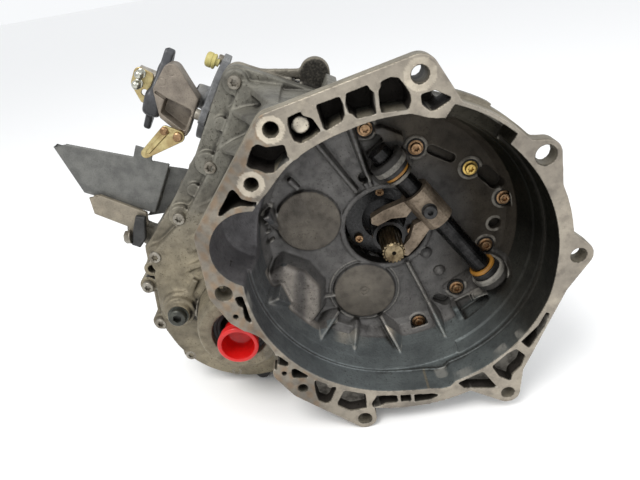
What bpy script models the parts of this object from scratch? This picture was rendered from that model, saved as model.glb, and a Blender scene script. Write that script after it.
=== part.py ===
"""Six-speed transverse manual transmission: clutch housing, gear casing, gear train, differential, shift and release gear."""

from math import acos, atan2, ceil, cos, degrees, hypot, pi, radians, sin, sqrt, tan

import bmesh
import bpy
from mathutils import Vector

MM = 0.001
GAP = 0.3            # clearance left between neighbouring pieces, mm
INNER_STEPS = 16      # sides of the round pieces inside the casing

# Driving dimensions, mm. +Y runs along the input shaft, away from the engine; +Z is up.
MOUTH_R = 142.5      # clutch housing mouth
RIM_R = 156.0        # outside of the flange between its lugs
FLANGE_T = 16.0
BACK_WALL_Y = 92.0   # inside face of the clutch housing's back wall
JOINT_Y = 126.0      # where clutch housing and gear casing meet
DIFF_END_Y = 236.0   # end of the differential's lobe
CASE_END_Y = 346.0   # rear end of the gear casing
COVER_T = 18.0
SHAFT_TIP_Y = 32.8   # the input shaft's end, behind the flange face
WALL = 6.0
BASE_Z = -184.0      # the level the transmission stands on

MODULE = 3.5
TEETH = {"1": (11, 35), "2": (15, 31), "3": (19, 27), "4": (23, 23), "5": (23, 22), "6": (26, 19)}
REVERSE_TEETH = 25
PINION_TEETH, RING_TEETH = 26, 53
GEAR_T = 14.0
GEAR_Y = {"1": 168.0, "2": 208.0, "3": 228.0, "4": 268.0, "5": 268.0, "6": 308.0, "R": 168.0}
FINAL_Y, FINAL_T = 134.0, 22.0
REAR_BEARING_Y, BEARING_T = 328.0, 15.0
SLEEVE_T = 18.0
OUT1_ANGLE = 163.65


def polar(radius, angle, centre=(0.0, 0.0)):
    return (
        centre[0] + radius * cos(radians(angle)),
        centre[1] + radius * sin(radians(angle)),
    )


def meeting_angle(a, b, c):
    """Angle opposite side c in a triangle, degrees."""
    return degrees(acos((a * a + b * b - c * c) / (2 * a * b)))


A1 = MODULE * sum(TEETH["1"]) / 2
A2 = MODULE * sum(TEETH["5"]) / 2
A12 = MODULE * (TEETH["1"][1] + REVERSE_TEETH) / 2
A_DIFF = MODULE * (PINION_TEETH + RING_TEETH) / 2
INPUT = (0.0, 0.0)
OUT1 = polar(A1, OUT1_ANGLE)
OUT2 = polar(A2, OUT1_ANGLE + meeting_angle(A1, A2, A12))
_middle = ((OUT1[0] + OUT2[0]) / 2, (OUT1[1] + OUT2[1]) / 2)
_towards = degrees(atan2(OUT1[1] - OUT2[1], OUT1[0] - OUT2[0])) + 90
DIFF = polar(sqrt(A_DIFF**2 - (A12 / 2) ** 2), _towards, _middle)

SELECT_DIR = Vector((-0.849, 0.0, 0.528)).normalized()
SELECT_AT = Vector((-156.0, 176.0, 136.0))

for old in list(bpy.data.objects):
    bpy.data.objects.remove(old, do_unlink=True)

scene = bpy.context.scene
parts = bpy.data.collections.new("manual_transmission")
helpers = bpy.data.collections.new("cutters")
scene.collection.children.link(parts)
scene.collection.children.link(helpers)
helpers.hide_render = True

PAINTS = {
    "cast": ((0.42, 0.41, 0.37), 0.75, 0.62),
    "cast_dark": ((0.20, 0.21, 0.20), 0.7, 0.6),
    "steel": ((0.50, 0.49, 0.46), 1.0, 0.35),
    "dark_steel": ((0.06, 0.06, 0.065), 0.9, 0.5),
    "gear_steel": ((0.34, 0.34, 0.35), 1.0, 0.3),
    "brass": ((0.60, 0.44, 0.22), 1.0, 0.4),
    "bolt": ((0.62, 0.34, 0.17), 1.0, 0.4),
    "red": ((0.75, 0.02, 0.02), 0.0, 0.35),
    "yellow": ((0.70, 0.56, 0.10), 0.2, 0.5),
    "rubber": ((0.02, 0.02, 0.02), 0.0, 0.7),
    "bracket": ((0.17, 0.17, 0.16), 0.6, 0.55),
    "weight": ((0.33, 0.29, 0.25), 0.6, 0.6),
}


def new_mesh(name, bm, home):
    mesh = bpy.data.meshes.new(name)
    bm.to_mesh(mesh)
    bm.free()
    obj = bpy.data.objects.new(name, mesh)
    home.objects.link(obj)
    return obj


def helper(obj):
    obj.hide_render = True
    obj.display_type = "WIRE"
    return obj


def slab(name, outline, origin, u, v, w, thickness, home=None):
    """A flat outline in the u, v plane at origin, extruded along w."""
    bm = bmesh.new()
    origin, u, v, w = Vector(origin), Vector(u), Vector(v), Vector(w)
    face = bm.faces.new([bm.verts.new((u * a + v * b) * MM) for a, b in outline])
    side = bmesh.ops.extrude_face_region(bm, geom=[face])["geom"]
    moved = [item for item in side if isinstance(item, bmesh.types.BMVert)]
    bmesh.ops.translate(bm, vec=w * thickness * MM, verts=moved)
    bmesh.ops.recalc_face_normals(bm, faces=bm.faces)
    obj = new_mesh(name, bm, home or helpers)
    obj.location = origin * MM
    return obj


def prism(name, outline, y0, y1, home=None, centre=(0.0, 0.0)):
    """An (x, z) outline about centre, extruded along +Y."""
    spot = (centre[0], y0, centre[1])
    return slab(name, outline, spot, (1, 0, 0), (0, 0, 1), (0, 1, 0), y1 - y0, home)


def box(name, low, high, home=None):
    outline = [(low[0], low[2]), (high[0], low[2]), (high[0], high[2]), (low[0], high[2])]
    return prism(name, outline, low[1], high[1], home)


def lathe(name, profile, origin, direction, steps=32, home=None):
    """A closed (radius, distance) profile turned by a Screw about the line through origin."""
    area = sum(
        profile[i - 1][0] * profile[i][1] - profile[i][0] * profile[i - 1][1]
        for i in range(len(profile))
    )
    if area > 0:
        profile = profile[::-1]
    bm = bmesh.new()
    verts = [bm.verts.new((radius * MM, 0, along * MM)) for radius, along in profile]
    for i, vert in enumerate(verts):
        if max(profile[i - 1][0], profile[i][0]) > 0:
            bm.edges.new((verts[i - 1], vert))
    obj = new_mesh(name, bm, home or helpers)
    obj.location = Vector(origin) * MM
    obj.rotation_euler = Vector(direction).to_track_quat("Z", "Y").to_euler()
    screw = obj.modifiers.new("turn", "SCREW")
    screw.axis = "Z"
    screw.steps = screw.render_steps = steps
    screw.use_merge_vertices = True
    screw.merge_threshold = 0.00001
    return obj


def along_y(name, profile, centre, steps=32, home=None):
    """A profile of (radius, y) turned about a line parallel to +Y."""
    return lathe(name, profile, (centre[0], 0, centre[1]), (0, 1, 0), steps, home)


def disc(name, centre, radius, y0, y1, steps=32, home=None):
    return along_y(name, [(0, y0), (radius, y0), (radius, y1), (0, y1)], centre, steps, home)


def rod(name, start, end, radius, steps=20, home=None):
    start, end = Vector(start), Vector(end)
    length = (end - start).length
    profile = [(0, 0), (radius, 0), (radius, length), (0, length)]
    return lathe(name, profile, start, end - start, steps, home)


def combine(obj, others, how):
    """One Boolean against a collection that holds all the other shapes."""
    group = bpy.data.collections.new(others[0].name + "_group")
    helpers.children.link(group)
    for other in others:
        helpers.objects.unlink(helper(other))
        group.objects.link(other)
    modifier = obj.modifiers.new(group.name, "BOOLEAN")
    modifier.operation = how
    modifier.solver = "EXACT"
    modifier.operand_type = "COLLECTION"
    modifier.collection = group
    weld = obj.modifiers.new(group.name + "_weld", "WELD")
    weld.merge_threshold = 0.000005
    return obj


def cut(obj, *others):
    return combine(obj, others, "DIFFERENCE")


def fuse(obj, *others):
    return combine(obj, others, "UNION")


def finish(obj, name, paint):
    """Makes an object a named piece with a material of its own."""
    obj.name = name
    if obj.name not in parts.objects:
        helpers.objects.unlink(obj)
        parts.objects.link(obj)
    colour, metal, rough = PAINTS[paint]
    material = bpy.data.materials.new(name)
    material.use_nodes = True
    shader = material.node_tree.nodes["Principled BSDF"]
    shader.inputs["Base Color"].default_value = (*colour, 1)
    shader.inputs["Metallic"].default_value = metal
    shader.inputs["Roughness"].default_value = rough
    obj.data.materials.clear()
    obj.data.materials.append(material)
    return obj


def tangent_turn(first, second):
    """Direction, in degrees, of the outward tangent point shared by two circles run round anticlockwise."""
    dx, dz = second[0] - first[0], second[1] - first[1]
    lean = degrees(acos(max(-1.0, min(1.0, (first[2] - second[2]) / hypot(dx, dz)))))
    return degrees(atan2(dz, dx)) - lean


def belt(circles, step=30.0):
    """The outline of a belt laid anticlockwise round (x, z, radius) circles; radius 0 is a corner."""
    outline = []
    for i, here in enumerate(circles):
        before, after = circles[i - 1], circles[(i + 1) % len(circles)]
        if here[2] < 1e-6:
            outline.append((here[0], here[1]))
            continue
        start, end = tangent_turn(before, here), tangent_turn(here, after)
        sweep = (end - start) % 360
        if sweep > 300:
            sweep = 0.0
        count = max(1, ceil(sweep / step))
        for k in range(count + 1):
            outline.append(polar(here[2], start + sweep * k / count, here))
    return outline


def arc(radius, start, end, step=11.0, centre=(0.0, 0.0)):
    """Corners along an arc, as circles of radius 0."""
    count = max(1, ceil(abs(end - start) / step))
    return [(*polar(radius, start + (end - start) * k / count, centre), 0.0) for k in range(count + 1)]


def grown(circles, by):
    return [(x, z, r + by) for x, z, r in circles]


# ---------------------------------------------------------------- clutch housing
LUGS = {
    "right": (160.5, -11.9), "upper_right": (129.2, 87.5), "top": (31.8, 168.4),
    "top_left": (-89.1, 144.6), "left_upper": (-113.9, 102.0), "left_lower": (-161.1, 2.1),
    "bottom_left": (-108.6, -120.3), "bottom": (-51.6, -171.6), "lower_right": (96.6, -161.8),
}
LUG_HOLE_R = {
    "right": 6.8, "upper_right": 8.5, "top": 6.7, "top_left": 6.2, "left_upper": 5.7,
    "left_lower": 7.5, "bottom_left": 4.6, "bottom": 6.8, "lower_right": 6.2,
}
STARTER = (-126.2, 41.2)

flange_outline = belt(
    [(*LUGS["right"], 13.5)]
    + arc(RIM_R, 4, 22)
    + [(*LUGS["upper_right"], 13.5)]
    + arc(RIM_R, 41, 66)
    + [(*LUGS["top"], 15.5), (*LUGS["top_left"], 14.0), (-153.0, 56.0, 21.0)]
    + [(*LUGS["left_lower"], 14.5), (-155.8, -25.8, 8.5)]
    + arc(42.0, 65, -18, 16, DIFF)
    + [(-123.4, -98.2, 11.5), (*LUGS["bottom_left"], 13.0), (*LUGS["bottom"], -BASE_Z + LUGS["bottom"][1])]
    + arc(164.0, 256, 291)
    + [(*LUGS["lower_right"], 12.5)]
    + arc(160.0, -46, -16)
)


def rim_radius(angle):
    """How far out the flange's outline is at an angle about the input axis."""
    ux, uz = polar(1.0, angle)
    found = 0.0
    for i, (x0, z0) in enumerate(flange_outline):
        x1, z1 = flange_outline[(i + 1) % len(flange_outline)]
        side = (x1 - x0) * uz - (z1 - z0) * ux
        if abs(side) < 1e-9:
            continue
        t = (z0 * ux - x0 * uz) / side
        if 0 <= t <= 1:
            found = max(found, (x0 + (x1 - x0) * t) * ux + (z0 + (z1 - z0) * t) * uz)
    return found


def mouth_radius(angle):
    return MOUTH_R - 4.0 if 66 < angle % 360 < 141 else MOUTH_R


CASE_TOP = [(-125.0, 168.0, 13.0), (-171.0, 94.0, 13.0), (-213.0, 42.0, 13.0), (-250.0, 2.0, 13.0)]
CASE_DIFF = [(*DIFF, 102.5)]
CASE_LOW = [(*OUT2, 68.0), (52.0, -60.0, 12.0), (50.0, 22.0, 22.0), (6.0, 100.0, 14.0)]
case_circles = CASE_TOP + CASE_DIFF + CASE_LOW
# Behind the joint the casing stands lower, and in front of it the joint flange stands clear of the wall.
back_circles = [(-20.0, 86.0, 20.0), (-126.0, 150.0, 13.0)] + CASE_TOP[1:] + CASE_DIFF + CASE_LOW[:-1]
front_circles = [(-116.9, 163.0, 5.0), (-163.3, 88.5, 5.0), (-205.8, 35.8, 5.0), (-250.0, 2.0, 6.0)]
front_circles += grown(CASE_DIFF + CASE_LOW, -7.0)
room_circles = [(-108.5, 158.0, 3.0), (-155.0, 82.7, 3.0), (-198.0, 29.5, 3.0), (-248.0, 2.0, 5.0)]
room_circles += grown(CASE_DIFF + CASE_LOW, -8.0)
rear_circles = [
    (-49.5, 82.0, 26.0), (-128.0, 112.0, 12.0), (-151.0, 78.0, 12.0), (*OUT1, 72.0), (*OUT2, 68.0),
    (*INPUT, 56.0),
]

housing = prism("clutch_housing", flange_outline, 0, FLANGE_T, parts)
fuse(
    housing,
    along_y("bell_outside", [(0, 8), (151, 8), (150, 60), (139, 108), (0, 108)], INPUT, 48),
    prism("bell_shoulder", belt([
        (-30, 130, 16), (-89.1, 140.0, 17), (-150.0, 56.0, 20.0), (-152.0, 4.0, 17.0),
        (-100.0, -100.0, 14.0), (0.0, 0.0, 40.0),
    ]), 10, 112),
    prism("case_joint", belt(grown(case_circles, 1.5), 20), 112, JOINT_Y),
    prism("case_front", belt(front_circles, 20), 98, 113),
    along_y("diff_neck", [(0, 52), (44, 52), (47, 60), (52, 92), (92, 100), (0, 100)], DIFF, 28),
    rod("starter_nose", (STARTER[0], 10, STARTER[1]), (STARTER[0], 70, STARTER[1]), 43, 24),
    prism("rim_back", belt([(31.8, 168.4, 12.0), (-89.1, 144.6, 11.0), (-110.0, 100.0, 14.0), (36.0, 138.0, 10.0)]), 10, 34),
)
mouth = [polar(mouth_radius(a), a) for a in range(0, 360, 8)]
cut(
    housing,
    prism("mouth", mouth, -1, 64),
    along_y("bell_inside", [(0, 60), (133, 60), (130, 80), (120, BACK_WALL_Y), (0, BACK_WALL_Y)], INPUT, 40),
    prism("case_front_room", belt(room_circles, 20), 106, JOINT_Y + 1),
    disc("starter_room", STARTER, 37, -1, 62, 24),
)
fuse(
    housing,
    disc("boss_out1", OUT1, 38, 104, 124, 18),
    disc("boss_out2", OUT2, 38.4, 104.3, 123.6, 18),
    disc("boss_input", INPUT, 50, 104, 128, 22),
    disc("boss_diff", DIFF, 41.5, 99, 124.6, 20),
    disc("pad_1", (OUT1[0] + 2.0, OUT1[1]), 33, 90.5, 96, 26),
    disc("pad_2", OUT2, 33, 90.2, 95.7, 26),
    along_y("drain_boss", [(0, 78), (12, 78), (13, 84), (19, 84), (20, 105.2), (0, 105.2)], (-238.0, -62.0), 24),
)
cut(
    housing,
    disc("bearing_out1", OUT1, 31.9, 109, 130, 20),
    disc("bearing_out2", OUT2, 31.9, 109, 131, 20),
    disc("retainer_recess", INPUT, 44, 79, 118, 24),
    disc("input_bore", INPUT, 24.4, 100, 140, 18),
    along_y("bearing_diff", [(0, 40), (26, 40), (26, 108), (34.9, 108), (34.9, 140), (0, 140)], DIFF, 20),
    disc("drain_hole", (-238.0, -62.0), 6.0, 70, 103, 14),
)
holes = [disc("hole_" + lug, LUGS[lug], LUG_HOLE_R[lug], -5, FLANGE_T + 104, 14) for lug in ("bottom",)]
holes += [
    disc("hole_" + lug, LUGS[lug], LUG_HOLE_R[lug], -5, FLANGE_T + 24, 14)
    for lug in LUGS
    if lug != "bottom"
]
cut(housing, *holes)
# Cast pockets between the flange's two walls: start and end angle, inner and outer radius, depth.
POCKETS = (
    (125, 133.5, 145, 162, 26), (143, 151, 146, 160, 26), (110.7, 117, 145, 166, 26),
    (101, 107.5, 145, 163, 26), (92.2, 99, 145, 164, 26), (84.5, 90, 145, 158, 26), (70, 78, 145, 155, 26),
    (-42, -27, 148, 154.5, 12), (-56, -46.5, 148, 168, 12), (-71, -60, 148, 166, 12),
    (-104, -93, 148, 157, 12), (-117, -108.5, 147, 167, 12), (-129, -120.5, 147, 161, 12),
    (-139.5, -134.5, 146.5, 156, 12), (-178, -167, 145.5, 152, 12),
)
cut(housing, *[
    prism(
        f"pocket_{start}",
        [polar(outer, start), polar(outer, (start + end) / 2), polar(outer, end)]
        + [polar(inner, end), polar(inner, (start + end) / 2), polar(inner, start)],
        -1, depth,
    )
    for start, end, inner, outer, depth in POCKETS
])
for lean in (105, 118, 133, 196, 228, 262, 300):
    ux, uz = polar(1.0, lean)
    start = 60 if lean < 150 else 112
    reach = (start, 122)
    cut_side = Vector((-uz, 0, ux))
    rib = slab(
        f"back_rib_{lean}",
        [(min(reach), -2), (max(reach), -2), (max(reach), 2), (min(reach), 2)],
        (0, 86, 0), (ux, 0, uz), cut_side, (0, 1, 0), 10,
    )
    fuse(housing, rib)
finish(housing, "clutch_housing", "cast")

# ---------------------------------------------------------------- gear casing and covers
casing = prism("gear_casing", belt(grown(case_circles, 1.5), 20), JOINT_Y + GAP, JOINT_Y + 12, parts)
fuse(
    casing,
    prism("upper_lug", belt([(-49.5, 160.7, 15.0), (-50.0, 128.0, 13.0)], 24), JOINT_Y + GAP, JOINT_Y + 12),
    prism("upper_web", belt([(-108.0, 170.0, 3.5), (-60.0, 161.0, 5.0)], 40), JOINT_Y + 2, JOINT_Y + 9),
    prism("diff_lobe", belt(back_circles, 20), JOINT_Y + 1, DIFF_END_Y),
    prism("rear_lobe", belt(grown(rear_circles, 0.0), 24), JOINT_Y + 1, CASE_END_Y),
    prism("rear_joint", belt(grown(rear_circles, 5.0), 24), CASE_END_Y - 12, CASE_END_Y),
    disc("casing_diff_boss", DIFF, 44, DIFF_END_Y - 20, DIFF_END_Y + 10, 22),
    box("rear_foot_leg", (-12, 268, BASE_Z), (34, 300, -60)),
    rod("turret_seat", SELECT_AT - SELECT_DIR * 12, SELECT_AT + SELECT_DIR * 6, 42, 26),
    prism("bracket_boss", belt([(-276, 24, 9), (-250, 2, 12)]), JOINT_Y + 5, 150),
)
cut(
    casing,
    prism("gear_room", belt(grown(back_circles, -5.6), 14), JOINT_Y - 1, DIFF_END_Y - 8),
    prism("gear_room_rear", belt(grown(rear_circles, -WALL), 24), JOINT_Y - 1, CASE_END_Y - 20),
    rod("selector_way", SELECT_AT - SELECT_DIR * 60, SELECT_AT + SELECT_DIR * 9, 22, 18),
    rod("switch_hole", (-44, 300, 80), (-44, 300, 120), 6.4, 16),
)
fuse(casing, disc("diff_seat", DIFF, 41, DIFF_END_Y - 24, DIFF_END_Y - 4, 22))
cut(
    casing,
    along_y("diff_bore", [
        (0, 200), (34.9, 200), (34.9, 228), (26, 228), (26, 260), (0, 260),
    ], DIFF, 20),
    *[disc(f"rear_bore_{i}", at, 31.9, 320, 360, 20) for i, at in enumerate((INPUT, OUT1, OUT2))],
    rod("foot_hole", (11, 260, -160), (11, 310, -160), 6, 16),
)
finish(casing, "gear_casing", "cast_dark")

cover = prism("end_cover", belt(grown(rear_circles, 5.0), 24), CASE_END_Y + GAP, CASE_END_Y + 6, parts)
fuse(cover, prism("cover_dome", belt(grown(rear_circles, -8.0), 24), CASE_END_Y + 1, CASE_END_Y + COVER_T))
cut(cover, prism("cover_room", belt(grown(rear_circles, -12.0), 24), CASE_END_Y - 5, CASE_END_Y + COVER_T - 5))
finish(cover, "end_cover", "cast_dark")


# ---------------------------------------------------------------- gears
def gear_outline(teeth, phase, centre=(0.0, 0.0)):
    pitch = MODULE * teeth / 2
    corners = []
    for k in range(teeth):
        middle = degrees(phase) + 360.0 * k / teeth
        for depth, half in ((-1.0, 2.25), (0.75, 0.85), (0.75, -0.85), (-1.0, -2.25)):
            radius = pitch + depth * MODULE
            corners.append(polar(radius, middle - degrees(half * MODULE / 3.5 / radius), centre))
    return corners


def meshed(phase, first, second, teeth, others):
    """The phase that puts a gear at second in mesh with the gear of this phase at first."""
    line = atan2(second[1] - first[1], second[0] - first[0])
    return line + pi - (phase - line) * teeth / others + pi / others


def fit_bore(radius, steps):
    """A bore's corner radius that clears a shaft of this radius at any turn."""
    return (radius + GAP) / cos(pi / steps)


def wheel(name, teeth, phase, centre, y0, bore, steps=INNER_STEPS):
    obj = prism(name, gear_outline(teeth, phase), y0, y0 + GEAR_T, parts, centre)
    cut(obj, disc(name + "_bore", centre, fit_bore(bore, steps), y0 - 9, y0 + GEAR_T + 9, steps))
    return finish(obj, name, "gear_steel")


JOURNAL = 17.0
shaft_profile = [
    (0, SHAFT_TIP_Y), (8.8, SHAFT_TIP_Y),
    (10.0, SHAFT_TIP_Y + 1.5), (10.0, 100), (12.5, 103), (12.5, 126), (15, 126), (15, 142),
    (15.2, 142), (15.2, REAR_BEARING_Y - 1), (14, REAR_BEARING_Y - 1),
    (14, REAR_BEARING_Y + BEARING_T + 2), (0, REAR_BEARING_Y + BEARING_T + 2),
]
input_shaft = along_y("input_shaft", shaft_profile, INPUT, INNER_STEPS, parts)
SPLINES = 18
spline_outline = []
for k in range(SPLINES):
    for radius, half in ((9.8, 0.3), (11.0, 0.2), (11.0, -0.2), (9.8, -0.3)):
        spline_outline.append(polar(radius, 360 * (k - half) / SPLINES))
fuse(input_shaft, prism("splines", spline_outline, SHAFT_TIP_Y + 1.2, 96))
first_phase = 0.0
phases = {}
for gear, (pinion, wheel_teeth) in TEETH.items():
    target = OUT2 if gear in "56" else OUT1
    if gear == "5":
        phases[gear] = meshed(first_phase, INPUT, OUT2, pinion, wheel_teeth)
        continue
    fuse(input_shaft, prism("pinion_" + gear, gear_outline(pinion, first_phase), GEAR_Y[gear] - 1, GEAR_Y[gear] + GEAR_T + 1))
    phases[gear] = meshed(first_phase, INPUT, target, pinion, wheel_teeth)
finish(input_shaft, "input_shaft", "brass")

for gear, (pinion, wheel_teeth) in TEETH.items():
    centre = OUT2 if gear in "56" else OUT1
    wheel("gear_" + gear, wheel_teeth, phases[gear], centre, GEAR_Y[gear], JOURNAL)
reverse_phase = meshed(phases["1"], OUT1, OUT2, TEETH["1"][1], REVERSE_TEETH)
wheel("gear_reverse", REVERSE_TEETH, reverse_phase, OUT2, GEAR_Y["R"], JOURNAL)

HUB_R, SLEEVE_R = 24.0, 31.0
SLEEVES = {
    "sleeve_1_2": (OUT1, 186.0), "sleeve_3_4": (OUT1, 246.0),
    "sleeve_5_6": (OUT2, 286.0), "sleeve_reverse": (OUT2, 186.0),
}
ring_phase = 0.0
for name, centre in (("output_shaft_1", OUT1), ("output_shaft_2", OUT2)):
    end = REAR_BEARING_Y + BEARING_T
    profile = [(0, 110), (16, 110), (16, 128), (20, 128), (20, 160), (JOURNAL, 160)]
    for sleeve, (at, y0) in sorted(SLEEVES.items(), key=lambda item: item[1][1]):
        if at == centre:
            profile += [(JOURNAL, y0 + 1), (HUB_R, y0 + 1), (HUB_R, y0 + SLEEVE_T - 1), (JOURNAL, y0 + SLEEVE_T - 1)]
    profile += [(JOURNAL, REAR_BEARING_Y - 2), (14, REAR_BEARING_Y - 2), (14, end), (0, end)]
    obj = along_y(name, profile, centre, INNER_STEPS, parts)
    phase = meshed(ring_phase, DIFF, centre, RING_TEETH, PINION_TEETH)
    fuse(obj, prism(name + "_pinion", gear_outline(PINION_TEETH, phase, centre), FINAL_Y, FINAL_Y + FINAL_T))
    finish(obj, name, "gear_steel")

for name, (centre, y0) in SLEEVES.items():
    inner, floor = fit_bore(HUB_R, INNER_STEPS), SLEEVE_R - 3.5
    middle = y0 + SLEEVE_T / 2
    profile = [
        (inner, y0), (SLEEVE_R, y0), (SLEEVE_R, middle - 4), (floor, middle - 4),
        (floor, middle + 4), (SLEEVE_R, middle + 4), (SLEEVE_R, y0 + SLEEVE_T), (inner, y0 + SLEEVE_T),
    ]
    finish(along_y(name, profile, centre, INNER_STEPS, parts), name, "steel")


def shift_fork(name, sleeve, angle, reach, rail_y):
    """A half-round fork in the sleeve's groove, on a rail of its own."""
    centre, y0 = SLEEVES[sleeve]
    middle = y0 + SLEEVE_T / 2
    inside, outside = SLEEVE_R - 2.6, SLEEVE_R + 5.0
    spots = [angle - 80 + 160 * k / 8 for k in range(9)]
    outline = [polar(outside, a, centre) for a in spots] + [polar(inside, a, centre) for a in reversed(spots)]
    obj = prism(name, outline, middle - 3.2, middle + 3.2, parts)
    rail = polar(reach, angle, centre)
    side = polar(1.0, angle + 90)
    near, far = polar(outside - 2, angle, centre), rail
    arm = [
        (near[0] - side[0] * 7, near[1] - side[1] * 7), (far[0] - side[0] * 6, far[1] - side[1] * 6),
        (far[0] + side[0] * 6, far[1] + side[1] * 6), (near[0] + side[0] * 7, near[1] + side[1] * 7),
    ]
    fuse(
        obj,
        prism(name + "_arm", arm, middle - 3, middle + 3),
        disc(name + "_boss", rail, 8.5, middle - 9, middle + 9, 16),
        disc(name + "_rail", rail, 5.0, rail_y[0], rail_y[1], 14),
    )
    return finish(obj, name, "steel")


shift_fork("shift_fork_1_2", "sleeve_1_2", 112, 76, (150, 236))
shift_fork("shift_fork_3_4", "sleeve_3_4", 135, 70, (160, 292))
shift_fork("shift_fork_5_6", "sleeve_5_6", -72, 51, (258, 318))
shift_fork("shift_fork_reverse", "sleeve_reverse", -105, 52, (160, 236))


def bearing(name, centre, y0, inner, outer, width=BEARING_T):
    profile = [
        (inner, y0), (outer, y0), (outer, y0 + width), (inner, y0 + width),
    ]
    return finish(along_y(name, profile, centre, INNER_STEPS, parts), name, "steel")


bearing("bearing_input_front", INPUT, 128.6, fit_bore(15, INNER_STEPS), 23.4, 12)
bearing("bearing_input_rear", INPUT, REAR_BEARING_Y, fit_bore(14, INNER_STEPS), 30.8)
for name, centre in (("output_1", OUT1), ("output_2", OUT2)):
    bearing(f"bearing_{name}_front", centre, 110, fit_bore(16, INNER_STEPS), 30.8)
    bearing(f"bearing_{name}_rear", centre, REAR_BEARING_Y, fit_bore(14, INNER_STEPS), 30.8)
bearing("bearing_diff_front", DIFF, 109, fit_bore(20, INNER_STEPS), 33.8)
bearing("bearing_diff_rear", DIFF, 211, fit_bore(20, INNER_STEPS), 33.8)

# ---------------------------------------------------------------- differential
DIFF_MID = 182.0
case_profile = [
    (20, 108.5), (20, 126), (34, 128), (50, 136), (50, 157), (70, 157), (70, 165), (44, 168),
    (43, 203), (24, 208), (20, 208), (20, 227), (14, 227), (14, DIFF_MID + 24), (33, DIFF_MID + 22),
    (33, DIFF_MID - 22), (14, DIFF_MID - 24), (14, 108.5),
]
diff_case = along_y("differential_case", case_profile, DIFF, 20, parts)
cut(
    diff_case,
    box("diff_window", (DIFF[0] - 15, DIFF_MID - 12, DIFF[1] - 60), (DIFF[0] + 15, DIFF_MID + 12, DIFF[1] + 60)),
    rod("pin_hole", (DIFF[0] - 60, DIFF_MID, DIFF[1]), (DIFF[0] + 60, DIFF_MID, DIFF[1]), 7.4, 20),
)
finish(diff_case, "differential_case", "cast_dark")
ring = prism("ring_gear", gear_outline(RING_TEETH, ring_phase), FINAL_Y, FINAL_Y + FINAL_T - 0.2, parts, DIFF)
cut(ring, disc("ring_bore", DIFF, 52, 100, 200, 24))
finish(ring, "ring_gear", "gear_steel")
pin = rod("pinion_pin", (DIFF[0] - 42, DIFF_MID, DIFF[1]), (DIFF[0] + 42, DIFF_MID, DIFF[1]), 7.0, 20, parts)
finish(pin, "pinion_pin", "steel")
for side, name in ((-1, "side_gear_left"), (1, "side_gear_right")):
    profile = [(9, 11), (15.6, 11), (25.0, 17), (25.0, 20), (12.5, 21), (12.5, 34), (9, 34)]
    obj = lathe(name, profile, (DIFF[0], DIFF_MID, DIFF[1]), (0, side, 0), INNER_STEPS, parts)
    finish(obj, name, "gear_steel")
for side, name in ((-1, "planet_pinion_a"), (1, "planet_pinion_b")):
    profile = [(7.6, 17.4), (10.4, 17.4), (15.8, 26.0), (15.8, 27.6), (7.6, 27.6)]
    obj = lathe(name, profile, (DIFF[0], DIFF_MID, DIFF[1]), (side, 0, 0), INNER_STEPS, parts)
    finish(obj, name, "gear_steel")

# ---------------------------------------------------------------- clutch side: guide sleeve, release gear
guide = along_y("guide_sleeve", [
    (13.2, 68.4), (16.5, 68.4), (16.5, 108), (24, 112.5), (41.5, 112.5), (41.5, 117.7), (13.2, 117.7),
], INPUT, 26, parts)
RETAINER_BOLTS = ((-1.5, 33.4), (-29.6, -17.4), (27.9, -16.8))
cut(guide, *[disc(f"guide_hole_{i}", at, 3.4, 100, 125, 14) for i, at in enumerate(RETAINER_BOLTS)])
finish(guide, "guide_sleeve", "dark_steel")
for i, at in enumerate(RETAINER_BOLTS):
    name = f"retainer_bolt_{i + 1}"
    profile = [(0, 107.0), (6.0, 107.0), (6.4, 112.2), (3.0, 112.2), (3.0, 117.5), (0, 117.5)]
    obj = along_y(name, profile, at, 12, parts)
    cut(obj, disc(name + "_socket", at, 2.4, 104, 109.5, 6))
    finish(obj, name, "bolt")

SHAFT_TOP = Vector((12.5, 73.5, 68.8))
SHAFT_LOW = Vector((96.0, 73.5, -55.6))
cross_axis = (SHAFT_LOW - SHAFT_TOP).normalized()
cross_side = Vector((0, 1, 0)).cross(cross_axis)
release_shaft = rod("release_shaft", SHAFT_TOP - cross_axis * 26, SHAFT_LOW + cross_axis * 14, 10.5, 24, parts)
finish(release_shaft, "release_shaft", "dark_steel")
fork_mid = SHAFT_TOP - cross_axis * Vector((SHAFT_TOP.x, 0, SHAFT_TOP.z)).dot(cross_axis)
towards_input = Vector((0, fork_mid.y, 0)) - fork_mid
towards_input = (towards_input - cross_axis * towards_input.dot(cross_axis)).normalized()
fork = lathe("release_fork", [
    (fit_bore(10.5, 24), -21), (15.5, -21), (15.5, 21), (fit_bore(10.5, 24), 21),
], fork_mid, cross_axis, 24, parts)
for side in (-1, 1):
    prong = [(13, 8), (22, 6), (34, 15), (49, 18), (52, 24), (48, 29), (34, 27), (12, 20)]
    fuse(fork, slab(
        f"prong_{side}", [(a, b * side) for a, b in prong], fork_mid - Vector((0, 7, 0)),
        towards_input, cross_axis, (0, 1, 0), 11,
    ))
finish(fork, "release_fork", "steel")
fork_bolt = lathe("fork_bolt", [(0, 15.9), (6, 15.9), (6.8, 17.5), (6.8, 22), (0, 22)], fork_mid, (0, -1, 0), 16, parts)
cut(fork_bolt, lathe("fork_bolt_socket", [(0, 19.5), (2.6, 19.5), (2.6, 30), (0, 30)], fork_mid, (0, -1, 0), 6))
finish(fork_bolt, "fork_bolt", "bolt")
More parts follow.
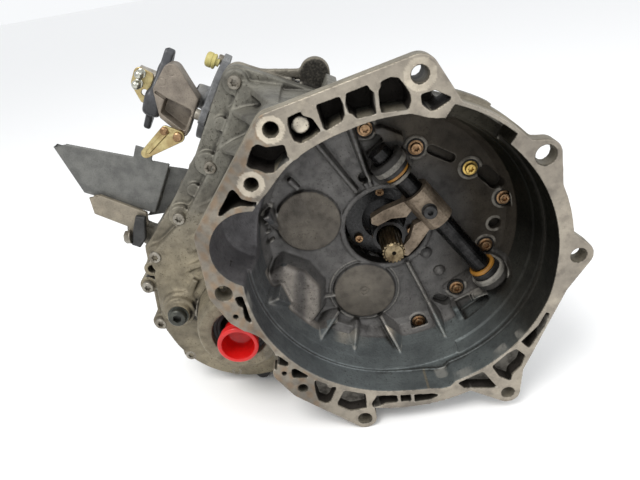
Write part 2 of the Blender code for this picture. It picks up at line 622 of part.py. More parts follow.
for name, at in (("bush_upper", SHAFT_TOP), ("bush_lower", SHAFT_LOW)):
    obj = lathe(name, [(fit_bore(10.5, 24), -6), (15.5, -6), (15.5, 6), (fit_bore(10.5, 24), 6)], at, cross_axis, 24, parts)
    finish(obj, name, "yellow")
    holder = slab(
        name + "_holder", [(-24, -26), (24, -26), (24, 24), (-24, 24)], at + cross_axis * -7.0,
        cross_side, (0, 1, 0), cross_axis, 14,
    )
    fuse(housing, holder)
    cut(housing, lathe(name + "_seat", [(0, -20), (15.9, -20), (15.9, 20), (0, 20)], at, cross_axis, 24))

# ---------------------------------------------------------------- plugs and switches
plug = along_y("transport_plug", [
    (0, 56), (0, 60), (15, 60), (17.5, 56), (17.8, 44), (21, 42), (21.4, 31), (17, 31), (15.5, 36), (14.5, 56),
], DIFF, 26, parts)
finish(plug, "transport_plug", "red")
drain = along_y("drain_plug", [(0, 70), (9, 70), (10, 71), (10, 77.6), (5.5, 77.6), (5.5, 96), (0, 96)], (-238.0, -62.0), 20, parts)
cut(drain, disc("drain_socket", (-238.0, -62.0), 4.6, 66, 74, 6))
finish(drain, "drain_plug", "dark_steel")
switch = lathe("reverse_switch", [
    (0, -8), (6, -8), (6, 0.5), (10, 0.5), (10, 7), (7, 25), (6, 26), (0, 26),
], (-44, 300, 109.8), (0, 0, 1), 12, parts)
finish(switch, "reverse_switch", "yellow")

# ---------------------------------------------------------------- selector tower
UP_WALL = Vector((0, 1, 0)).cross(SELECT_DIR)
tower = lathe("selector_housing", [
    (9.0, 6.3), (43, 6.3), (43, 14), (15, 15.5), (12.8, 17.5), (12.8, 27), (11.5, 28.5), (9.0, 28.5),
], SELECT_AT, SELECT_DIR, 22, parts)
for turn in (20, 140, 260):
    spot = SELECT_AT + SELECT_DIR * 6.3 + (UP_WALL * cos(radians(turn)) + Vector((0, 1, 0)) * sin(radians(turn))) * 44
    fuse(tower, lathe(f"tower_ear_{turn}", [(0, 0), (8.5, 0), (8.5, 8), (0, 8)], spot, SELECT_DIR, 16))
finish(tower, "selector_housing", "cast")
cap_at = SELECT_AT + UP_WALL * 38
cap = lathe("breather_cap", [
    (0, 14.6), (4, 14.6), (4, 18), (8, 18), (8, 27), (6.5, 29), (0, 29),
], SELECT_AT + SELECT_DIR * 1.5 + UP_WALL * 40, SELECT_DIR, 20, parts)
finish(cap, "breather_cap", "yellow")

selector = lathe("selector_shaft", [(0, -40), (7, -40), (7, 91), (0, 91)], SELECT_AT, SELECT_DIR, 20, parts)
finger_at = SELECT_AT - SELECT_DIR * 36
fuse(selector, slab(
    "selector_finger", [(-6, 0), (6, 0), (4, 15), (-4, 15)], finger_at, UP_WALL, (0, 1, 0), SELECT_DIR, 9,
))
finish(selector, "selector_shaft", "steel")
seat = lathe("spring_seat", [
    (fit_bore(7, 20), 46), (12.5, 46), (12.5, 50), (10.5, 51), (10.5, 57), (fit_bore(7, 20), 57),
], SELECT_AT, SELECT_DIR, 20, parts)
finish(seat, "spring_seat", "steel")
lever = lathe("shift_lever", [(7.1, 61), (13, 61), (13, 71), (7.1, 71)], SELECT_AT, SELECT_DIR, 20, parts)
weight = belt([(-54, 20, 9), (-62, -2, 5), (-50, -25, 4), (-25, -34, 4), (-25, 3, 4)], 30)
arm = belt([(30, 6, 7), (-8, 20, 11), (-48, 12, 5), (0, 0, 13)], 30)
fuse(
    lever,
    slab("weight_block", weight, SELECT_AT + Vector((0, -16, 0)), SELECT_DIR * -1, UP_WALL, (0, -1, 0), 20),
    slab("lever_arm", arm, SELECT_AT + SELECT_DIR * 61, UP_WALL, (0, -1, 0), SELECT_DIR, 10),
)
cut(lever, lathe("lever_bore", [(0, 50), (7.1, 50), (7.1, 80), (0, 80)], SELECT_AT, SELECT_DIR, 20))
finish(lever, "shift_lever", "weight")
plate_at = SELECT_AT + Vector((0, -20, 0))
outline = belt([(-75.4, 5, 4), (-86, 4, 6), (-86, -7, 6), (-75.4, -20, 4)], 30)
plate = slab("lever_plate", outline, plate_at, SELECT_DIR * -1, UP_WALL, (0, -1, 0), 3, parts)
finish(plate, "lever_plate", "yellow")
for i, up in enumerate((5, -6)):
    profile = [(0, 3.3), (4.8, 3.3), (4.8, 5), (3, 6), (2.4, 8.5)]
    profile += [(4.7 * cos(radians(t)), 12.5 + 4.7 * sin(radians(t))) for t in range(-50, 90, 35)] + [(0, 17.2)]
    spot = plate_at + SELECT_DIR * 84 + UP_WALL * up
    finish(lathe(f"ball_stud_{i + 1}", profile, spot, (0, -1, 0), 12, parts), f"ball_stud_{i + 1}", "yellow")

# ---------------------------------------------------------------- cable bracket
BRACKET = [(-334, 136), (-318, 74.5), (-249, 38), (-217, 91.5)]
inside = [(-329.5, 160), (-329.5, 134), (-315, 77.5), (-250.5, 42.6), (-220, 92.5), (-219.6, 160)]
bracket = prism("cable_bracket", BRACKET, 134, 182, parts)
cut(bracket, prism("bracket_room", inside, 137, 200))
fuse(bracket, prism("bracket_tab", [(-256, 92), (-240, 84), (-232, 101), (-249, 109)], 134, 137))
finish(bracket, "cable_bracket", "bracket")
plate = prism("bracket_plate", [(-318, 74), (-318, 62), (-286, 38), (-284, 19), (-268, 16), (-260, 28), (-248, 38)], 127, 130, parts)
cut(plate, disc("plate_bolt_hole", (-276, 24), 4.5, 120, 140, 14))
fuse(plate, prism("plate_fold", [(-318, 71.5), (-250, 35), (-248, 38), (-317, 74.5)], 127, 133.5))
finish(plate, "bracket_plate", "weight")
bolt = along_y("bracket_bolt", [(0, 121), (7, 121), (7, 126.6), (4, 126.6), (4, 130.6), (0, 130.6)], (-276, 24), 6, parts)
finish(bolt, "bracket_bolt", "bolt")
pivot = Vector((-199, 127.6, 120))
strip = belt([(0, 0, 7), (-11, 8, 6), (-38, -12, 6)], 30)
select_lever = slab("select_lever", strip, pivot, (1, 0, 0), (0, 0, 1), (0, 1, 0), 6, parts)
finish(select_lever, "select_lever", "dark_steel")

for obj in bpy.data.objects:
    obj.location.y -= SHAFT_TIP_Y * MM
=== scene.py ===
"""Looks for the six-speed transverse transmission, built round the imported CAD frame."""

from math import acos, atan2, ceil, cos, degrees, hypot, pi, radians, sin

import bmesh
import bpy
import numpy as np
from mathutils import Matrix, Vector


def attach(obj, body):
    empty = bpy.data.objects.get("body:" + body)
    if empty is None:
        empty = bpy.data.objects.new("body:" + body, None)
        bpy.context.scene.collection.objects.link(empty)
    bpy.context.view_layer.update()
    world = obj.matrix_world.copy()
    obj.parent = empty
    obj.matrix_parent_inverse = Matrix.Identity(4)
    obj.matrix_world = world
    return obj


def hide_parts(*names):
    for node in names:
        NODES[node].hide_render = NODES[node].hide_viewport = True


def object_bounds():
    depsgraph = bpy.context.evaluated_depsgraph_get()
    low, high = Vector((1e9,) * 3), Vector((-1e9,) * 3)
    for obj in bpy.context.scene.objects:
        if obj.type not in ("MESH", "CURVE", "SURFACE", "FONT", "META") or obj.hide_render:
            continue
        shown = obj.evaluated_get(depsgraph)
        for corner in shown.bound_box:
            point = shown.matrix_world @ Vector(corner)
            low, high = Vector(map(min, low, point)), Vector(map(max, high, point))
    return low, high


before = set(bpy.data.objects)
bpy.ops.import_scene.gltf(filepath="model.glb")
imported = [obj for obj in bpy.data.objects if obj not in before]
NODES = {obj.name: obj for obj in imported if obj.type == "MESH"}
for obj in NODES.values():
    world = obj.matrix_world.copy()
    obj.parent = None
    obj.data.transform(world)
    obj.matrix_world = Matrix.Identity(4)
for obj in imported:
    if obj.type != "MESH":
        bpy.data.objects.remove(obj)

MM = 0.001
TIP = 32.8                      # the frame's origin lies this far behind the flange face, mm
CAD_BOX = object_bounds()
STEP = 1.15   # grid of the castings, mm

# Positions below are in mm from the flange face: X, Y into the gearbox, Z up.
# row() turns them into the metres of the frame.
OUT1, OUT2, DIFF = (-77.24, 22.66), (-31.85, -72.02), (-169.87, -79.97)
LUGS = {
    "right": (160.5, -11.9, 13.5, 6.8), "upper_right": (129.2, 87.5, 13.5, 8.5),
    "top": (31.8, 168.4, 15.5, 6.7), "top_left": (-89.1, 144.6, 14.0, 6.2),
    "left_upper": (-113.9, 102.0, 14.0, 5.7), "left_lower": (-161.1, 2.1, 14.5, 7.5),
    "bottom_left": (-108.6, -120.3, 13.0, 4.6), "bottom": (-51.6, -171.6, 12.4, 6.8),
    "lower_right": (96.6, -161.8, 12.5, 6.2),
}
STARTER = (-126.2, 41.2)
PAD1 = (-79.2, 20.8)            # the upper of the two flat pads of the back wall
DRAIN = (-238.0, -62.0)
BRIGHT_SEAT = (-65.5, 142.5)    # a machined seat in a pocket of the flange
PLAIN_BOSS = (112.8, -14.5)     # a boss of the back wall without a bolt
SMALL_BOSSES = ((-155.9, -24.3, 8.2), (-123.6, -98.3, 7.4))
JOINT_FRONT, JOINT_REAR = 125.4, 126.2   # Y of the joint faces of the housing and the casing
CASING_END, COVER_FRONT = 345.9, 346.3   # Y of the joint faces of the casing and the end cover
FLOOR_Z = -0.184                # the lowest point of the CAD, m
FOCAL, WIDTH, SENSOR = 550, 640, 36.0    # focal length and width of the picture, and the sensor, mm
SHAFT_TOP, SHAFT_LOW = Vector((12.5, 73.5, 68.8)), Vector((96.0, 73.5, -55.6))
CROSS = (SHAFT_LOW - SHAFT_TOP).normalized()
SELECT_AT, SELECT_DIR = Vector((-156.0, 176.0, 136.0)), Vector((-0.849, 0.0, 0.528)).normalized()
UP_WALL = Vector((0, 1, 0)).cross(SELECT_DIR)


def row(point):
    """mm from the flange face to metres in the frame."""
    return Vector((point[0], point[1] - TIP, point[2])) * MM


def polar(radius, angle, centre=(0.0, 0.0)):
    return (centre[0] + radius * cos(radians(angle)), centre[1] + radius * sin(radians(angle)))


def tangent_turn(first, second):
    dx, dz = second[0] - first[0], second[1] - first[1]
    return degrees(atan2(dz, dx)) - degrees(acos(max(-1.0, min(1.0, (first[2] - second[2]) / hypot(dx, dz)))))


def belt(circles, step=10.0):
    """The outline of a belt laid anticlockwise round (x, z, radius) circles; radius 0 is a corner."""
    outline = []
    for i, here in enumerate(circles):
        before, after = circles[i - 1], circles[(i + 1) % len(circles)]
        if here[2] < 1e-6:
            outline.append((here[0], here[1]))
            continue
        start, end = tangent_turn(before, here), tangent_turn(here, after)
        sweep = (end - start) % 360
        sweep = 0.0 if sweep > 300 else sweep
        count = max(1, ceil(sweep / step))
        outline += [polar(here[2], start + sweep * k / count, here) for k in range(count + 1)]
    return outline


def arc(radius, start, end, step=5.0, centre=(0.0, 0.0)):
    count = max(1, ceil(abs(end - start) / step))
    return [(*polar(radius, start + (end - start) * k / count, centre), 0.0) for k in range(count + 1)]


def grown(circles, by):
    return [(x, z, r + by) for x, z, r in circles]


def tube(inner, outer, low, high):
    """The profile of a tube; inner 0 makes it a solid barrel."""
    return [(inner, low), (outer, low), (outer, high), (inner, high)]


def both_sides(profile):
    """A (radius, distance) profile mirrored in its axis, unless it stays clear of the axis."""
    if min(radius for radius, _ in profile) > 0:
        return profile
    return [*profile, *((-radius, along) for radius, along in reversed(profile) if radius > 0)]


def linked(name, data):
    obj = bpy.data.objects.new(name, data)
    bpy.context.scene.collection.objects.link(obj)
    return obj


# ---------------------------------------------------------------- castings as distance fields
def flat_distance(outline, u, v):
    """Signed distance from points (u, v) to a closed outline, negative inside."""
    u, v = np.broadcast_arrays(np.asarray(u, np.float32), np.asarray(v, np.float32))
    best = np.full(u.shape, 1e9, np.float32)
    inside = np.zeros(u.shape, bool)
    for i in range(len(outline)):
        (x0, z0), (x1, z1) = outline[i - 1], outline[i]
        ex, ez = x1 - x0, z1 - z0
        wx, wz = u - x0, v - z0
        t = np.clip((wx * ex + wz * ez) / (ex * ex + ez * ez + 1e-12), 0, 1)
        np.minimum(best, (wx - ex * t) ** 2 + (wz - ez * t) ** 2, out=best)
        if abs(ez) > 1e-9:
            inside ^= ((z0 <= v) != (z1 <= v)) & (wx < ex * wz / ez)
    return np.where(inside, -1, 1) * np.sqrt(best)


def rounded(across, along, r):
    """Distance to where two slabs meet, with the outer edge rounded by r."""
    a, b = across + r, along + r
    return np.minimum(np.maximum(a, b), 0) + np.hypot(np.maximum(a, 0), np.maximum(b, 0)) - r


class Casting:
    """A solid kept as distances on a grid, to which shapes are added or cut with cast fillets."""

    def __init__(self, low, high, step):
        self.step = step
        self.axes = [np.arange(low[i], high[i] + step, step, dtype=np.float32) for i in range(3)]
        self.d = np.full([len(a) for a in self.axes], 30.0, np.float32)

    def window(self, low, high):
        cut = []
        for i in range(3):
            first = int(np.searchsorted(self.axes[i], low[i]))
            last = int(np.searchsorted(self.axes[i], high[i]))
            cut.append(slice(max(0, first - 1), min(len(self.axes[i]), last + 1)))
        x, y, z = (self.axes[i][cut[i]] for i in range(3))
        return tuple(cut), x[:, None, None], y[None, :, None], z[None, None, :]

    def apply(self, cut, dist, fillet, away):
        here = self.d[cut]
        if here.size == 0:
            return
        other = -dist if away else dist
        blend = np.clip(
            fillet - np.abs(here - other), 0, None,
        ) ** 2 / (4 * fillet + 1e-9) if fillet > 0 else 0
        self.d[cut] = np.maximum(here, other) + blend if away else np.minimum(here, other) - blend

    def prism(self, outline, y0, y1, fillet=0.0, away=False, edge=0.8, centre=(0, 0), draft=0.0):
        pts = [(x + centre[0], z + centre[1]) for x, z in outline]
        m = fillet + 3 * self.step
        xs, zs = [p[0] for p in pts], [p[1] for p in pts]
        cut, x, y, z = self.window((min(xs) - m, y0 - m, min(zs) - m), (max(xs) + m, y1 + m, max(zs) + m))
        flat = flat_distance(pts, x[:, 0, :], z[0, :, :].reshape(1, -1))[:, None, :]
        flat = flat + draft * (y - y0)
        self.apply(cut, rounded(flat, np.abs(y - (y0 + y1) / 2) - (y1 - y0) / 2, edge), fillet, away)

    def turned(self, profile, centre, fillet=0.0, away=False):
        """A closed (radius, y) profile turned about a line parallel to Y."""
        reach = max(p[0] for p in profile)
        m = fillet + 3 * self.step
        y0, y1 = min(p[1] for p in profile), max(p[1] for p in profile)
        low = (centre[0] - reach - m, y0 - m, centre[1] - reach - m)
        cut, x, y, z = self.window(low, (centre[0] + reach + m, y1 + m, centre[1] + reach + m))
        radius = np.hypot(x - centre[0], z - centre[1])[:, 0, :]
        levels = np.arange(0, radius.max() + 1, 0.5, dtype=np.float32)
        table = flat_distance(both_sides(profile), levels[:, None], y[0, :, 0][None, :])
        place = radius / 0.5
        base = np.minimum(place.astype(int), len(levels) - 2)
        share = (place - base)[..., None]
        dist = table[base] * (1 - share) + table[base + 1] * share
        self.apply(cut, dist.transpose(0, 2, 1), fillet, away)

    def disc(self, centre, radius, y0, y1, fillet=0.0, away=False):
        self.turned(tube(0, radius, y0, y1), centre, fillet, away)

    def rod(self, start, end, radius, fillet=0.0, away=False, edge=0.6):
        start, end = np.array(start, float), np.array(end, float)
        length = np.linalg.norm(end - start)
        way = (end - start) / length
        m = radius + fillet + 3 * self.step
        cut, x, y, z = self.window(np.minimum(start, end) - m, np.maximum(start, end) + m)
        a = (x - start[0]) * way[0] + (y - start[1]) * way[1] + (z - start[2]) * way[2]
        rr = (x - start[0]) ** 2 + (y - start[1]) ** 2 + (z - start[2]) ** 2 - a * a
        across = np.sqrt(np.maximum(rr, 0)) - radius
        self.apply(cut, rounded(across, np.abs(a - length / 2) - length / 2, edge), fillet, away)

    def slab(self, outline, origin, u, v, w, thickness, fillet=0.0, away=False, edge=0.6):
        origin, u, v, w = (np.array(q, float) for q in (origin, u, v, w))
        corners = [origin + u * a + v * b + w * c for a, b in outline for c in (0, thickness)]
        m = fillet + 3 * self.step
        cut, x, y, z = self.window(np.min(corners, 0) - m, np.max(corners, 0) + m)
        px, py, pz = x - origin[0], y - origin[1], z - origin[2]
        a, b, c = (px * q[0] + py * q[1] + pz * q[2] for q in (u, v, w))
        dist = rounded(flat_distance(outline, a, b), np.abs(c - thickness / 2) - thickness / 2, edge)
        self.apply(cut, dist, fillet, away)

    def rib(self, start, end, half, bottom, fillet=2.0, edge=1.0, flare=0.08):
        """A thin wall from start to end, (x, y, z) along its crest, reaching down to y = bottom."""
        start, end = np.array(start, float), np.array(end, float)
        flat = end - start
        length = hypot(flat[0], flat[2])
        ux, uz = flat[0] / length, flat[2] / length
        m = half + fillet + 3 * self.step + 6
        low, high = np.minimum(start, end) - m, np.maximum(start, end) + m
        high[1] = bottom + m
        cut, x, y, z = self.window(low, high)
        along = (x - start[0]) * ux + (z - start[2]) * uz
        side = np.abs((z - start[2]) * ux - (x - start[0]) * uz)
        crest = start[1] + (end[1] - start[1]) * np.clip(along / length, 0, 1)
        across = np.maximum(
            side - half - flare * np.clip(y - crest, 0, 30), np.abs(along - length / 2) - length / 2,
        )
        self.apply(cut, rounded(across, np.maximum(crest - y, y - bottom), edge), fillet, False)

    def sample(self, points):
        """Distances at points, read between the grid's."""
        place = [(points[:, i] - self.axes[i][0]) / self.step for i in range(3)]
        base = [np.clip(p.astype(int), 0, len(self.axes[i]) - 2) for i, p in enumerate(place)]
        f = [np.clip(p - b, 0, 1) for p, b in zip(place, base)]
        total = 0
        for corner in range(8):
            pick = [(corner >> i) & 1 for i in range(3)]
            weight = np.ones(len(points), np.float32)
            for i in range(3):
                weight = weight * (f[i] if pick[i] else 1 - f[i])
            total = total + weight * self.d[base[0] + pick[0], base[1] + pick[1], base[2] + pick[2]]
        return total

    def mesh(self):
        """Points and quads of the zero level, one point in each cell that the surface crosses."""
        d = self.d
        size = np.array(d.shape) - 1
        low = np.array([a[0] for a in self.axes], np.float32)
        quads, marks = [], []
        for axis in range(3):
            first, second = [slice(None)] * 3, [slice(None)] * 3
            first[axis], second[axis] = slice(0, -1), slice(1, None)
            a, b = d[tuple(first)], d[tuple(second)]
            where = np.argwhere((a < 0) != (b < 0))
            va, vb = a[tuple(where.T)], b[tuple(where.T)]
            point = where.astype(np.float64)
            point[:, axis] += va / (va - vb)
            u, v = [(1, 2), (2, 0), (0, 1)][axis]
            corners = []
            for du, dv in ((0, 0), (1, 0), (1, 1), (0, 1)):
                cell = where.copy()
                cell[:, u] -= du
                cell[:, v] -= dv
                corners.append(cell)
            ok = np.all([((c >= 0) & (c < size)).all(1) for c in corners], axis=0)
            quad = np.stack(
                [c[ok, 0] * size[1] * size[2] + c[ok, 1] * size[2] + c[ok, 2] for c in corners], 1,
            )
            turn = va[ok] < 0
            quad[turn] = quad[turn][:, ::-1]
            quads.append(quad[:, ::-1])
            marks.append(np.repeat(point[ok], 4, axis=0).reshape(-1, 4, 3))
        quads, marks = np.concatenate(quads), np.concatenate(marks)
        _, number = np.unique(quads.ravel(), return_inverse=True)
        number = number.reshape(-1)
        count = np.bincount(number)
        total = [np.bincount(number, weights=marks[..., k].ravel()) for k in range(3)]
        points = np.stack(total, 1) / count[:, None] * self.step + low
        return points, number.reshape(-1, 4)


def mesh_object(name, points, quads):
    mesh = bpy.data.meshes.new(name)
    mesh.vertices.add(len(points))
    mesh.vertices.foreach_set("co", np.asarray(points, np.float32).ravel())
    mesh.loops.add(quads.size)
    mesh.loops.foreach_set("vertex_index", quads.ravel().astype(np.int32))
    mesh.polygons.add(len(quads))
    mesh.polygons.foreach_set("loop_start", np.arange(0, quads.size, quads.shape[1], dtype=np.int32))
    mesh.polygons.foreach_set("use_smooth", np.ones(len(quads), bool))
    mesh.update(calc_edges=True)
    return linked(name, mesh)


def casting_object(name, casting, colour_of):
    """The casting as a mesh, with its colour, hollows and worn edges stored on its points."""
    points, quads = casting.mesh()
    eps = casting.step
    grad = np.stack(
        [
            casting.sample(points + np.eye(3)[i] * eps) - casting.sample(points - np.eye(3)[i] * eps)
            for i in range(3)
        ],
        1,
    )
    normal = grad / (np.linalg.norm(grad, axis=1, keepdims=True) + 1e-9)
    # how enclosed each point is; cast_material darkens the colour by it, as grime and painted shade
    hollow = np.zeros(len(points))
    for reach in (3.0, 7.0, 14.0):
        hollow += np.clip(1 - casting.sample(points + normal * reach) / reach, 0, 1) / 3
    proud = np.clip(1 + casting.sample(points - normal * 2.5) / 2.5, 0, 1)
    colour, machined = colour_of(points, normal)
    placed = np.clip((points - np.array([0, TIP, 0])) * MM, CAD_BOX[0], CAD_BOX[1])
    obj = mesh_object(name, placed, quads)
    tint = obj.data.color_attributes.new("tint", "FLOAT_COLOR", "POINT")
    tint.data.foreach_set("color", np.column_stack([colour, np.ones(len(points))]).astype(np.float32).ravel())
    for key, values in (("hollow", hollow), ("proud", proud), ("machined", machined)):
        layer = obj.data.attributes.new(key, "FLOAT", "POINT")
        layer.data.foreach_set("value", values.astype(np.float32))
    return obj


# ---------------------------------------------------------------- materials
class Mat:
    """Small helper round a node tree."""

    def __init__(self, name, mat=None):
        self.mat = mat or bpy.data.materials.new(name)
        self.mat.use_nodes = True
        self.tree = self.mat.node_tree
        self.shader = self.tree.nodes["Principled BSDF"]
        self.spot = self.node("ShaderNodeTexCoord").outputs["Object"]

    def node(self, kind, **settings):
        made = self.tree.nodes.new(kind)
        for key, value in settings.items():
            setattr(made, key, value)
        return made

    def link(self, a, b):
        self.tree.links.new(a, b)

    def give(self, socket, value):
        if isinstance(value, bpy.types.NodeSocket):
            self.link(value, socket)
        elif hasattr(value, "__len__") and len(value) == 3:
            socket.default_value = (*value, 1) if len(socket.default_value) == 4 else value
        else:
            socket.default_value = value

    def noise(self, scale, detail=3.0, rough=0.55, spot=None):
        n = self.node("ShaderNodeTexNoise")
        self.give(n.inputs["Scale"], scale)
        self.give(n.inputs["Detail"], detail)
        self.give(n.inputs["Roughness"], rough)
        self.link(spot or self.spot, n.inputs["Vector"])
        return n.outputs["Fac"]

    def stretched(self, scale):
        m = self.node("ShaderNodeMapping")
        m.inputs["Scale"].default_value = scale
        self.link(self.spot, m.inputs["Vector"])
        return m.outputs["Vector"]

    def ramp(self, value, low, high, to_low=0.0, to_high=1.0):
        n = self.node("ShaderNodeMapRange")
        n.interpolation_type = "SMOOTHSTEP"
        self.give(n.inputs["Value"], value)
        self.give(n.inputs["From Min"], low)
        self.give(n.inputs["From Max"], high)
        self.give(n.inputs["To Min"], to_low)
        self.give(n.inputs["To Max"], to_high)
        return n.outputs["Result"]

    def math(self, how, a, b=0.0):
        n = self.node("ShaderNodeMath", operation=how)
        self.give(n.inputs[0], a)
        self.give(n.inputs[1], b)
        return n.outputs[0]

    def mix(self, share, a, b, how="MIX"):
        n = self.node("ShaderNodeMix", data_type="RGBA", blend_type=how)
        self.give(n.inputs[0], share)
        self.give(n.inputs[6], a)
        self.give(n.inputs[7], b)
        return n.outputs[2]

    def stain(self, share, base, colour):
        """The base colour, multiplied by another where share says so."""
        return self.mix(share, base, self.mix(1.0, base, colour, "MULTIPLY"))

    def value(self, name):
        return self.node("ShaderNodeAttribute", attribute_name=name).outputs["Fac"]

    def colour(self, name):
        return self.node("ShaderNodeAttribute", attribute_name=name).outputs["Color"]

    def bump(self, height, strength, distance=0.001, after=None):
        n = self.node("ShaderNodeBump")
        self.give(n.inputs["Strength"], strength)
        self.give(n.inputs["Distance"], distance)
        self.link(height, n.inputs["Height"])
        if after is not None:
            self.link(after, n.inputs["Normal"])
        return n.outputs["Normal"]

    def finish(self, colour, rough, metallic, normal=None, specular=None):
        self.give(self.shader.inputs["Base Color"], colour)
        self.give(self.shader.inputs["Roughness"], rough)
        self.give(self.shader.inputs["Metallic"], metallic)
        if normal is not None:
            self.link(normal, self.shader.inputs["Normal"])
        if specular is not None:
            self.shader.inputs["Specular IOR Level"].default_value = specular
        return self.mat


def cast_material(name, grime_and_shade=(0.018, 0.016, 0.013), bare=(0.50, 0.47, 0.41)):
    """Weathered die-cast aluminium, darkened in its hollows by grime and painted shade, with machined faces
    where the mesh says so.
    """
    m = Mat(name)
    tint, hollow, proud, machined = m.colour("tint"), m.value("hollow"), m.value("proud"), m.value("machined")
    broad, patch, grain, fine = m.noise(22, 4), m.noise(95, 5, 0.62), m.noise(420, 4, 0.6), m.noise(1500, 2)
    streak = m.noise(60, 5, 0.65, m.stretched((1.0, 7.0, 1.0)))
    base = m.mix(
        m.ramp(broad, 0.3, 0.7), m.mix(1.0, tint, (0.72, 0.70, 0.68), "MULTIPLY"),
        m.mix(1.0, tint, (1.25, 1.22, 1.16), "MULTIPLY"),
    )
    base = m.stain(m.ramp(patch, 0.42, 0.72, 0.0, 0.55), base, (0.50, 0.49, 0.50))
    base = m.stain(m.ramp(streak, 0.55, 0.75, 0.0, 0.35), base, (1.7, 1.68, 1.6))
    rougher = m.math("SUBTRACT", 1.0, m.math("MULTIPLY", machined, 0.80))
    # darken the hollows towards a near-black colour: grime and painted shade in recesses, less on machined
    # faces
    dirt_and_shade = m.math("MULTIPLY", m.ramp(hollow, 0.24, 0.72), m.ramp(grain, 0.2, 0.6, 0.60, 1.0))
    dirt_and_shade = m.math("MULTIPLY", dirt_and_shade, rougher)
    base = m.mix(dirt_and_shade, base, grime_and_shade)
    speck = m.math("MULTIPLY", m.ramp(grain, 0.58, 0.68), m.ramp(broad, 0.32, 0.64, 0.15, 0.85))
    speck = m.math("MULTIPLY", speck, rougher)
    base = m.stain(speck, base, (0.26, 0.23, 0.20))
    chip = m.math("MULTIPLY", m.ramp(m.noise(760, 3, 0.6), 0.62, 0.70), m.ramp(patch, 0.4, 0.62, 0.1, 0.9))
    base = m.stain(m.math("MULTIPLY", chip, 0.6), base, (2.3, 2.25, 2.15))
    worn = m.math("MULTIPLY", m.ramp(proud, 0.32, 0.62), m.ramp(patch, 0.35, 0.6, 0.25, 0.9))
    base = m.mix(m.math("MULTIPLY", worn, 0.75), base, m.mix(0.45, bare, tint))
    rough = m.math("ADD", m.ramp(patch, 0.3, 0.7, 0.50, 0.68), m.math("MULTIPLY", machined, -0.12))
    normal = m.bump(grain, m.math("SUBTRACT", 0.60, m.math("MULTIPLY", machined, 0.42)), 0.0010)
    normal = m.bump(fine, 0.18, 0.0005, normal)
    light = m.node("ShaderNodeRGBToBW")
    m.link(tint, light.inputs[0])
    shine = m.ramp(light.outputs[0], 0.01, 0.12, 0.06, 0.5)
    m.link(shine, m.shader.inputs["Specular IOR Level"])
    return m.finish(base, rough, m.ramp(light.outputs[0], 0.01, 0.16, 0.15, 0.55), normal)


def metal_material(
    name, light, dark, rough=0.4, metallic=1.0, grain=500, dirt_and_shade=0.5, stretch=(1, 1, 1), bump=0.15,
):
    """Bare or plated metal with handling marks and some dirt."""
    m = Mat(name)
    spot = m.stretched(stretch)
    broad, fine = m.noise(70, 4, 0.6), m.noise(grain, 4, 0.6, spot)
    base = m.mix(m.ramp(broad, 0.35, 0.68), light, dark)
    base = m.stain(m.ramp(fine, 0.5, 0.75, 0.0, dirt_and_shade), base, (0.30, 0.27, 0.23))
    value = m.ramp(fine, 0.3, 0.7, rough - 0.08, rough + 0.12)
    return m.finish(base, value, metallic, m.bump(fine, bump, 0.0004))


def spline_material(name, light, dark, rough, metallic, grain, dirt_and_shade, stretch):
    """Oily splines whose end has a near-black disc on the shaft's axis, painted shade standing for a centre
    hole.
    """
    mat = metal_material(name, light, dark, rough, metallic, grain, dirt_and_shade, stretch)
    m = Mat(name, mat)
    place = m.node("ShaderNodeSeparateXYZ")
    m.link(m.node("ShaderNodeTexCoord").outputs["Object"], place.inputs[0])
    across = m.math(
        "ADD", m.math("MULTIPLY", place.outputs[0], place.outputs[0]),
        m.math("MULTIPLY", place.outputs[2], place.outputs[2]),
    )
    # a near-black disc of about 2 mm radius round the axis: painted shade for the centre hole
    hole = m.ramp(m.math("MULTIPLY", across, 10000.0), 0.035, 0.055, 1.0, 0.0)
    source = m.shader.inputs["Base Color"].links[0].from_socket
    m.link(m.mix(hole, source, (0.006, 0.005, 0.004)), m.shader.inputs["Base Color"])
    return mat


def plastic_material(name, light, dark, rough=0.35, bump=0.05, metallic=0.0):
    m = Mat(name)
    broad, fine = m.noise(45, 3), m.noise(600, 3)
    base = m.mix(m.ramp(broad, 0.3, 0.75), light, dark)
    return m.finish(
        base, m.ramp(fine, 0.3, 0.7, rough - 0.05, rough + 0.1), metallic, m.bump(fine, bump, 0.0003),
    )


